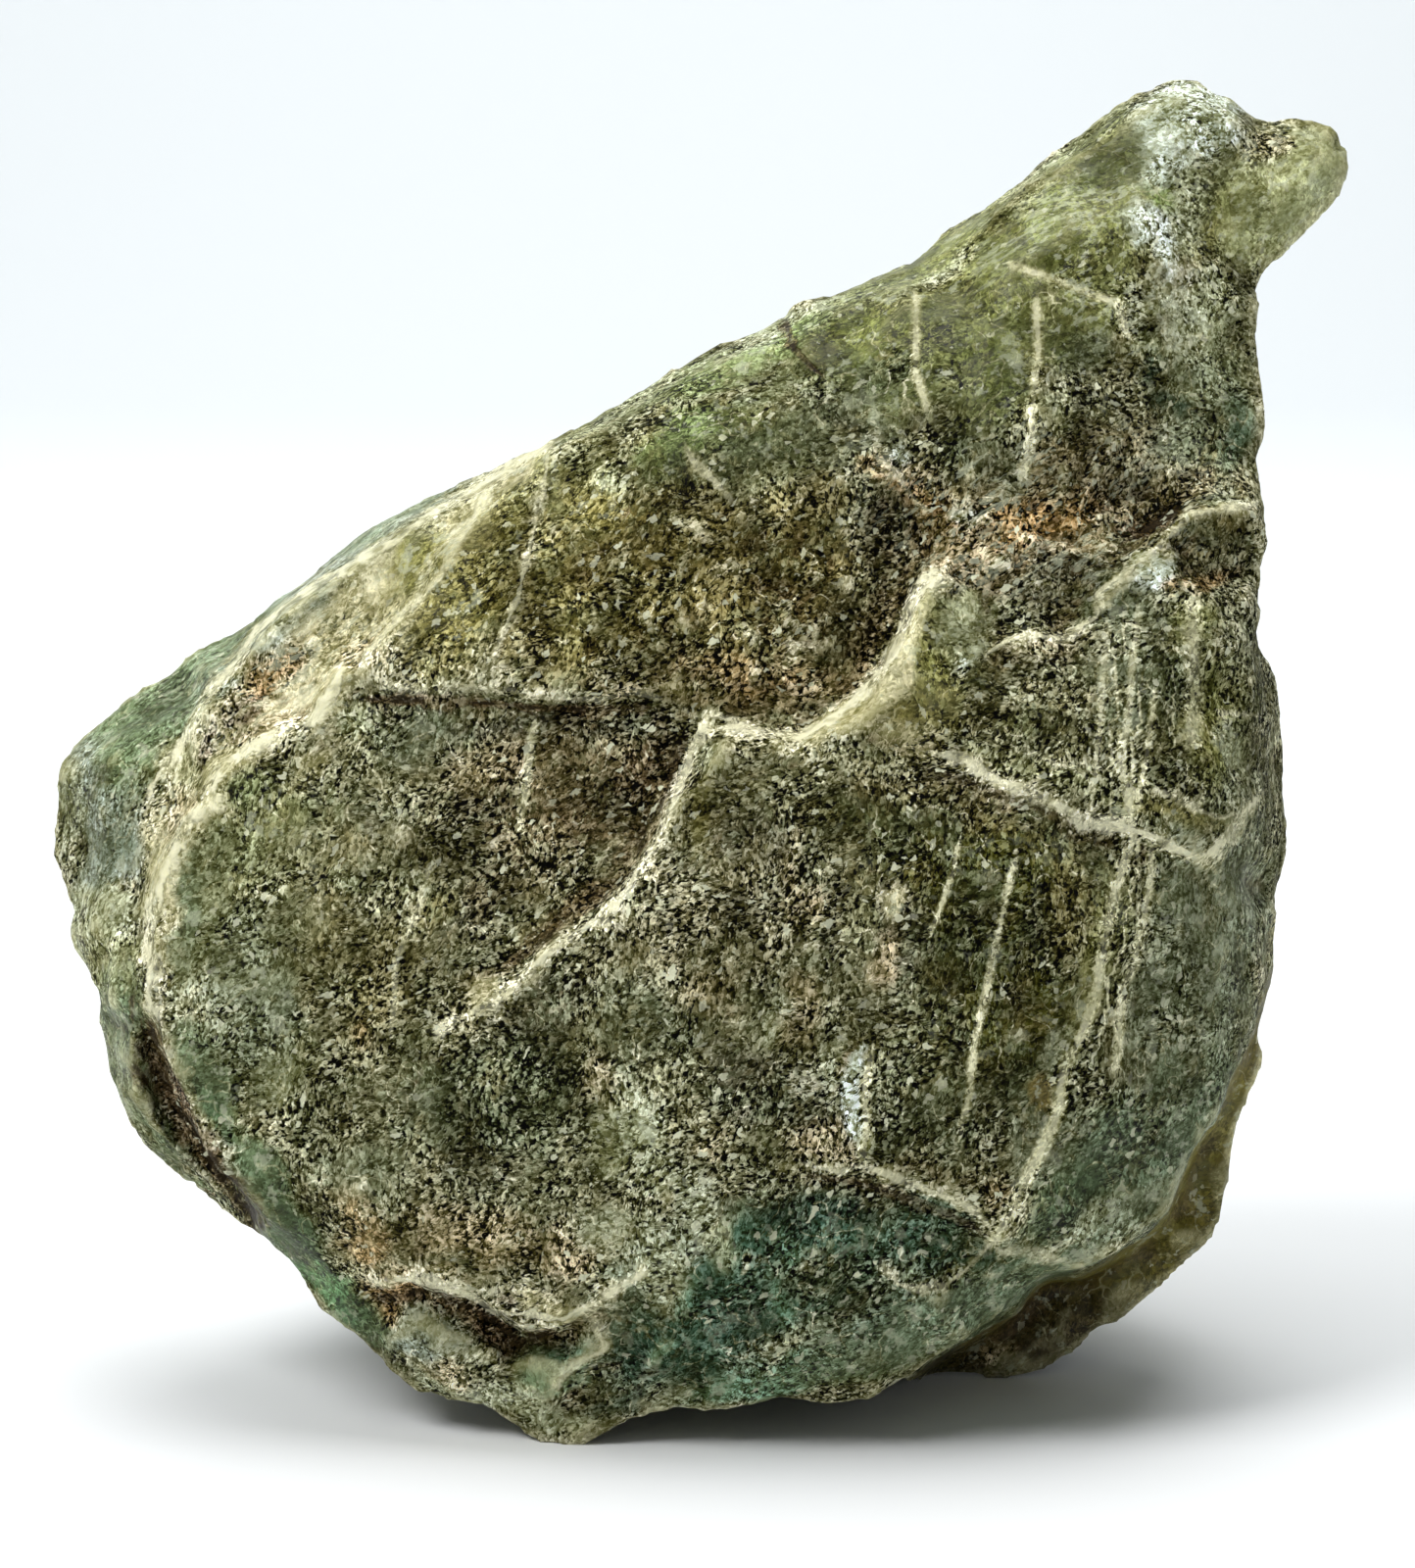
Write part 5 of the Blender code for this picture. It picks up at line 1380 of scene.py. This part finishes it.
# %% Light and dark of the grains
LINES_SMOOTH = 0.15
WORN_SMOOTH = 0.45
CLUMP = 0.0060
CLUMP_GAIN = 14.0
SUGAR = 0.0005
SUGAR_GAIN = 4.5
GRAIN_SHARE = 2.2
FINE_SHARE = 3.8
RIDGE_SHARE = 0.3
FRESH = 0.0050
FRESH_EDGES = (0.40, 0.60)
FRESH_LEAST = 0.6
FRESH_MORE = 0.7
waxy_here = stone_finish.column("waxy")
ridge_here = stone_finish.column("grain_ridge")
lines_here = rim_wide + vein_wide + ledge_wide
smooth_here = stone_finish.atmost(waxy_here + lines_here * LINES_SMOOTH + worn * WORN_SMOOTH, 1)
clump = swing(CLUMP, CLUMP_GAIN, 3.0, rough=0.62)
sugar = swing(SUGAR, SUGAR_GAIN, 3.0, rough=0.75)
mixed = sugar + (grain_pick - 0.5) * GRAIN_SHARE + (fine_pick - 0.5) * FINE_SHARE
mixed = mixed + ridge_here * RIDGE_SHARE
fresh = FRESH_LEAST + FRESH_MORE * stone_finish.step(cloud(FRESH, 1.0), *FRESH_EDGES)
print("nodes so far", len(stone_finish.nodes))

# %% From the mixture to the light
GRAIN_CONTRAST = 0.56
WAXY_CONTRAST = 0.10
CLUMP_CONTRAST = 0.17
WAXY_CLUMP_LOSS = 0.10
CHIP_CONTRAST = 0.2
MEAN_LIGHT = 0.98
DARKEST = 0.10
LIGHT_POWER = 2.2
GLINT_GRAIN_EDGES = (0.7, 2.2)
contrast = (GRAIN_CONTRAST + (WAXY_CONTRAST - GRAIN_CONTRAST) * smooth_here) * fresh
clumped = clump * (CLUMP_CONTRAST - WAXY_CLUMP_LOSS * smooth_here)
light = MEAN_LIGHT + mixed * contrast + clumped + (chip_pick - 0.5) * CHIP_CONTRAST
light = stone_finish.power(stone_finish.atleast(light, DARKEST), LIGHT_POWER)
# The pale grains are painted glints: mica flakes catching the light.
painted_glint_grain = stone_finish.step(mixed, *GLINT_GRAIN_EDGES) * (1 - smooth_here) * fresh
print("nodes so far", len(stone_finish.nodes))

# %% [markdown]
# ## Veils, scuffs and steps
#
# The waxy places aren't plain. Pale veils run through the horn and the flank, all up to the right,
# and the other waxy places are scuffed to a pale haze. The veils are noise drawn out five times along
# their slope. Thin steps, where one sheet of stone ends on the next, come from the whole numbers that
# a slow noise passes: only the lip just past each of them is pale.

# %% Veils, scuffs and steps
STREAK_SLOPE = math.radians(38)
STREAK_STRETCH = 5.0
STREAK = 0.0007
STREAK_GAIN = 14.0
STREAK_LIGHT = 0.14
STREAK_MOST = 2
VEIL_EDGES = (0.7, 1.7)
VEIL_CLUMP = 0.4
SCUFF = 0.0016
SCUFF_GAIN = 16.0
SCUFF_EDGES = (1.1, 2.4)
SCUFF_CLUMP = 0.5
SCUFFED_WAX = (0.2, 0.7)
SHEET = 0.0090
SHEETS = 11.0
LIP_EDGES = (0.12, 0.02)
STREAKY_SCUFF_LOSS = 0.8
along_streaks = stone_finish.add(
    "ShaderNodeMapping",
    {"vector_type": "TEXTURE"},
    {0: spot, 2: (0.0, -STREAK_SLOPE, 0.0), 3: (STREAK_STRETCH, 1.0, 1.0)},
)
streaky_here = stone_finish.column("streaky")
streaks = swing(STREAK, STREAK_GAIN, 3.0, along_streaks, rough=0.7)
veil = stone_finish.step(streaks + clump * VEIL_CLUMP, *VEIL_EDGES) * streaky_here
light = light * (1 + STREAK_LIGHT * streaks * streaky_here * (streaks < STREAK_MOST))
scuffs = swing(SCUFF, SCUFF_GAIN, 3.0, rough=0.70)
scuff = stone_finish.step(scuffs + clump * SCUFF_CLUMP, *SCUFF_EDGES)
scuff = scuff * stone_finish.step(waxy_here, *SCUFFED_WAX) * (1 - streaky_here * STREAKY_SCUFF_LOSS)
sheets = cloud(SHEET, 3.0, rough=0.52) * SHEETS
steps = stone_finish.add("ShaderNodeMath", {"operation": "FRACT"}, {0: sheets})
step_lip = stone_finish.step(steps, *LIP_EDGES) * unbroken
print("nodes so far", len(stone_finish.nodes))

# %% [markdown]
# ## Tints, veins, rims, dirt and painted light
#
# The tint column gives the stone its large colours. Over it go a warm and a cool drift, the worn edges
# and the dips, darkened with dirt and painted shade, and then the wide band of each kind of line. All of
# that is shaded by the grains' light, with bright grains a little bluer than dark ones, as in the
# photograph. The pale veils, the thin bands and the white flecks lie on top and aren't shaded. The thin
# bright bands of rims and ledges are painted highlights, the thin dark ones dirt and painted shadow, and
# the pale grains and white flecks painted glints of mica. Each layer is a tone, a mask and how much of
# the mask counts, so the layers are a list that a loop lays on.

# %% Colour of the stone
WARM = stone_finish.flat((116, 104, 64))
COOL = stone_finish.flat((92, 104, 78))
VEIN = stone_finish.flat((186, 182, 148))
RIM = stone_finish.flat((198, 192, 162))
BRIGHT = stone_finish.flat((246, 241, 220))
BROWN = stone_finish.flat((86, 68, 42))
DIRT_AND_SHADOW = stone_finish.flat((40, 32, 22))
GLINT_WHITE = stone_finish.flat((236, 236, 220))
VEIL = stone_finish.flat((194, 198, 182))
GLINT_GREY = stone_finish.flat((188, 188, 172))
DRIFT = 0.0035
DRIFT_BY_GRAIN = 0.35
WARM_EDGES = (0.56, 0.76)
COOL_EDGES = (0.54, 0.74)
GLINT_FLECK_EDGES = (0.972, 0.980)
WAXY_GLINT_LOSS = 0.6


def layered(colour, layers):
    """A colour with layers over it: a tone, its mask, and how much of the mask counts."""
    for tone, mask, cover in layers:
        colour = stone_finish.over(colour, tone, mask * cover)
    return colour


hue = cloud(DRIFT, 1.0) + (hue_pick - 0.5) * DRIFT_BY_GRAIN
glint_fleck = stone_finish.step(hue_pick, *GLINT_FLECK_EDGES) * fresh * (1 - waxy_here * WAXY_GLINT_LOSS)
shaded_layers = [
    (WARM, stone_finish.step(hue, *WARM_EDGES), 0.25),
    (COOL, stone_finish.step(1 - hue, *COOL_EDGES), 0.22),
    (RIM, worn, 0.45),
    # The dips are darkened with brown: dirt and painted shade.
    (BROWN, dips_dirt_and_shade, 0.55),
    (VEIN, vein_wide, 0.95),
    # The brown band of the crack lines is dirt and painted shadow.
    (BROWN, crack_and_shadow_wide, 0.8),
    # The pale band of rims and ledges is chipped stone, and partly painted light where their walls face
    # the lamps.
    (RIM, rim_wide, 0.9),
    (RIM, ledge_wide, 0.7),
    (RIM, step_lip, 0.4),
]
bright_layers = [
    (VEIL, veil, 0.5),
    (VEIL, scuff, 0.45),
    (GLINT_GREY, painted_glint_grain, 0.4),
    # The dark core of the crack lines is dirt and painted shadow.
    (DIRT_AND_SHADOW, crack_and_shadow_thin, 0.9),
    # The thin bright edges of rims and ledges are painted highlights.
    (BRIGHT, rim_chip_and_highlight, 0.9),
    (BRIGHT, ledge_chip_and_highlight, 0.5),
    (BRIGHT, vein_thin, 0.5),
    # White flecks: painted glints of mica.
    (GLINT_WHITE, glint_fleck, 0.75),
]
print("layers", len(shaded_layers) + len(bright_layers))

# %% Shade the grains and lay the layers on
BLUE_POWER = 0.6
BLUE_LEAST = 0.85
BLUE_SLOPE = 0.15
BLUE_MOST = 1.4
blue_rise = stone_finish.atmost(BLUE_LEAST + BLUE_SLOPE * light, BLUE_MOST)
blue_light = light * stone_finish.atmost(stone_finish.power(light, BLUE_POWER), blue_rise)
colour = layered(stone_finish.column("tint", "Color"), shaded_layers)
colour = stone_finish.shaded(colour, stone_finish.grey_and_blue(light, blue_light))
colour = layered(colour, bright_layers)
print("nodes so far", len(stone_finish.nodes))

# %% [markdown]
# ## Gloss and fine relief
#
# Mica and fresh quartz glint, so some grains are far smoother than others. The fine relief is a bump,
# because at a fifth of a millimetre it only changes how the surface catches light. The normal is then
# leant over by each grain's and each chip's random colour, so that each one faces its own way.
#
# Broken faces and waxy ones are two shaders, mixed by the waxiness: light goes a little way into a
# waxy face before it comes out, which makes the thin places glow.

# %% Relief and lean
BUMP_DEPTH = 0.00022
BUMP_STRENGTH = 0.8
SUGAR_BUMP = 0.4
WAXY_BUMP_LOSS = 0.8
STEP_BUMP = 1.2
RIM_BUMP = 1.2
CRACK_BUMP = 3.0
GRAIN_LEAN = 0.85
GRAIN_LEAN_LOSS = 0.75
CHIP_LEAN = 0.5
CHIP_LEAN_LOSS = 0.25
height = sugar * SUGAR_BUMP * (1 - waxy_here * WAXY_BUMP_LOSS) + steps * STEP_BUMP
height = height + rim_chip_and_highlight * RIM_BUMP + ledge_chip_and_highlight - crack_and_shadow_wide * CRACK_BUMP
relief = stone_finish.add(
    "ShaderNodeBump", {}, {"Strength": BUMP_STRENGTH, "Distance": BUMP_DEPTH, "Height": height}
)


def leaning(normal, colour, by):
    """A normal leant over by a random colour, a different way in each cell."""
    lean = vector("SUBTRACT", {0: colour, 1: MIDDLE})
    return vector("ADD", {0: normal, 1: vector("SCALE", {0: lean, 3: by})})


leant = leaning(relief, grain_colour, GRAIN_LEAN - GRAIN_LEAN_LOSS * waxy_here)
leant = leaning(leant, chip_colour, CHIP_LEAN - CHIP_LEAN_LOSS * waxy_here)
facet_normal = vector("NORMALIZE", {0: leant})
print("nodes so far", len(stone_finish.nodes))

# %% Gloss, and the two shaders
BROKEN_ROUGHNESS = 0.72
WAX_GLOSS = 0.30
GLINT_GLOSS = 0.35
GRAIN_GLOSS = 0.1
GLINT_EDGES = (0.90, 0.97)
CLEAR_EDGES = (0.45, 0.85)
QUARTZ_IOR = 1.54
glint = stone_finish.step(fine_pick, *GLINT_EDGES)
roughness = BROKEN_ROUGHNESS - WAX_GLOSS * waxy_here - GLINT_GLOSS * glint * (1 - waxy_here)
roughness = roughness + GRAIN_GLOSS * (grain_pick - 0.5)
face = {"Base Color": colour, "Roughness": roughness, "Normal": facet_normal, "IOR": QUARTZ_IOR}
glow = {"Subsurface Weight": 0.3, "Subsurface Radius": (1.0, 1.0, 0.45), "Subsurface Scale": 0.002}
broken_face = stone_finish.add("ShaderNodeBsdfPrincipled", {}, {**face, "Specular IOR Level": 0.03})
waxy_face = stone_finish.add(
    "ShaderNodeBsdfPrincipled",
    {"subsurface_method": "RANDOM_WALK"},
    {**face, **glow, "Specular IOR Level": 0.18},
)
clear_here = stone_finish.step(waxy_here, *CLEAR_EDGES)
stone_shader = stone_finish.add("ShaderNodeMixShader", {}, {0: clear_here, 1: broken_face, 2: waxy_face})
stone_finish.add("ShaderNodeOutputMaterial", {}, {"Surface": stone_shader})
stone_mesh.materials.clear()
stone_mesh.materials.append(stone_finish.material)
print("nodes of the stone's material", len(stone_finish.nodes))

# %% [markdown]
# ## The stone takes its place
#
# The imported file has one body, and the finer copy rides on it in place of the plain solid. Moving or
# changing the solid itself would break the match between the two.

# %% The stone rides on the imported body
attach(stone, "root")
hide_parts(STONE_NODE)

# %% [markdown]
# ## Floor
#
# The stone stands on a plain white sweep, a floor that curves up into a wall so that no line shows
# behind it.

# %% The sweep
SWEEP_HALF_WIDTH = 1.6
SWEEP_FRONT = -1.2
SWEEP_BEND = 0.9
SWEEP_RADIUS = 0.5
SWEEP_TOP = 1.8
BEND_STEPS = 24
PAPER_WHITE = (0.86, 0.875, 0.885, 1)


def sweep_profile():
    """Depth and height of the sweep's points, from its front edge to the top of the wall."""
    profile = [(SWEEP_FRONT, 0.0)]
    for index in range(BEND_STEPS + 1):
        angle = math.pi / 2 * index / BEND_STEPS
        depth = SWEEP_BEND + SWEEP_RADIUS * math.sin(angle)
        profile.append((depth, SWEEP_RADIUS * (1 - math.cos(angle))))
    profile.append((SWEEP_BEND + SWEEP_RADIUS, SWEEP_TOP))
    return profile


def sweep():
    """A white floor that bends up into a wall behind the stone."""
    build = bmesh.new()
    rows = []
    for depth, rise in sweep_profile():
        ends = (-SWEEP_HALF_WIDTH, SWEEP_HALF_WIDTH)
        rows.append([build.verts.new((x, depth, rise)) for x in ends])
    for lower, upper in zip(rows, rows[1:]):
        build.faces.new((lower[0], lower[1], upper[1], upper[0]))
    mesh = bpy.data.meshes.new("sweep")
    build.to_mesh(mesh)
    build.free()
    mesh.shade_smooth()
    piece = bpy.data.objects.new("sweep", mesh)
    bpy.context.scene.collection.objects.link(piece)
    return piece


paper_finish = Bench("white paper")
paper_sockets = {"Base Color": PAPER_WHITE, "Roughness": 0.9}
paper_shader = paper_finish.add("ShaderNodeBsdfPrincipled", {}, paper_sockets)
paper_finish.add("ShaderNodeOutputMaterial", {}, {"Surface": paper_shader})
floor = sweep()
floor.data.materials.append(paper_finish.material)
print("floor ready")

# %% [markdown]
# ## Light
#
# A wide soft lamp hangs overhead, a little behind the stone, and gives the soft shadow under it. A
# smaller one, high at the left and in front, draws the ledges. A third one lights only the wall, and
# the pale sky around them fills the front.

# %% Lamps and sky
STONE_MIDDLE = (0.0, 0.0, 0.05)
WALL_MIDDLE = (0.0, 1.4, 0.5)
WHITE = (1.0, 1.0, 1.0)
WALL_BLUE = (0.915, 0.98, 1.0)
SKY_BLUE = (0.95, 0.98, 1.0, 1)
SKY_STRENGTH = 0.20


def soft_lamp(name, place, aim, size, power, colour):
    """A square soft lamp that faces a point."""
    lamp = bpy.data.lights.new(name, "AREA")
    lamp.shape = "SQUARE"
    lamp.size = size
    lamp.energy = power
    lamp.color = colour
    holder = bpy.data.objects.new(name, lamp)
    holder.location = place
    holder.rotation_mode = "QUATERNION"
    holder.rotation_quaternion = (Vector(aim) - Vector(place)).to_track_quat("-Z", "Y")
    bpy.context.scene.collection.objects.link(holder)


soft_lamp("overhead", (0.03, 0.08, 0.90), STONE_MIDDLE, size=0.60, power=6.2, colour=WHITE)
soft_lamp("high left", (-0.50, -0.36, 0.78), STONE_MIDDLE, size=0.40, power=6.1, colour=WHITE)
soft_lamp("wall wash", (0.0, 0.55, 1.1), WALL_MIDDLE, size=0.8, power=8.2, colour=WALL_BLUE)
sky = bpy.data.worlds.new("pale sky")
sky.use_nodes = True
sky.node_tree.nodes["Background"].inputs["Color"].default_value = SKY_BLUE
sky.node_tree.nodes["Background"].inputs["Strength"].default_value = SKY_STRENGTH
bpy.context.scene.world = sky
bpy.context.scene.view_settings.view_transform = "Standard"
print("lamps", len(bpy.data.lights))

# %% [markdown]
# ## Camera
#
# The camera is the eye that the paper was drawn for, at the same place and distance, so the stone
# fills the frame as the drawing fills the sheet.

# %% The camera
SENSOR_LONG_SIDE = 36.0
SEEN_HEIGHT = 0.136
lens = bpy.data.cameras.new("eye")
lens.sensor_fit = "AUTO"
lens.sensor_width = SENSOR_LONG_SIDE
lens.lens = SENSOR_LONG_SIDE * VIEW_DISTANCE / SEEN_HEIGHT
camera = bpy.data.objects.new("eye", lens)
camera.location = SIGHT_POINT + VIEW_DISTANCE * Vector(TOWARDS_EYE)
camera.rotation_mode = "QUATERNION"
camera.rotation_quaternion = (SIGHT_POINT - camera.location).to_track_quat("-Z", "Y")
bpy.context.scene.collection.objects.link(camera)
bpy.context.scene.camera = camera
print("lens", round(lens.lens, 2), "mm")
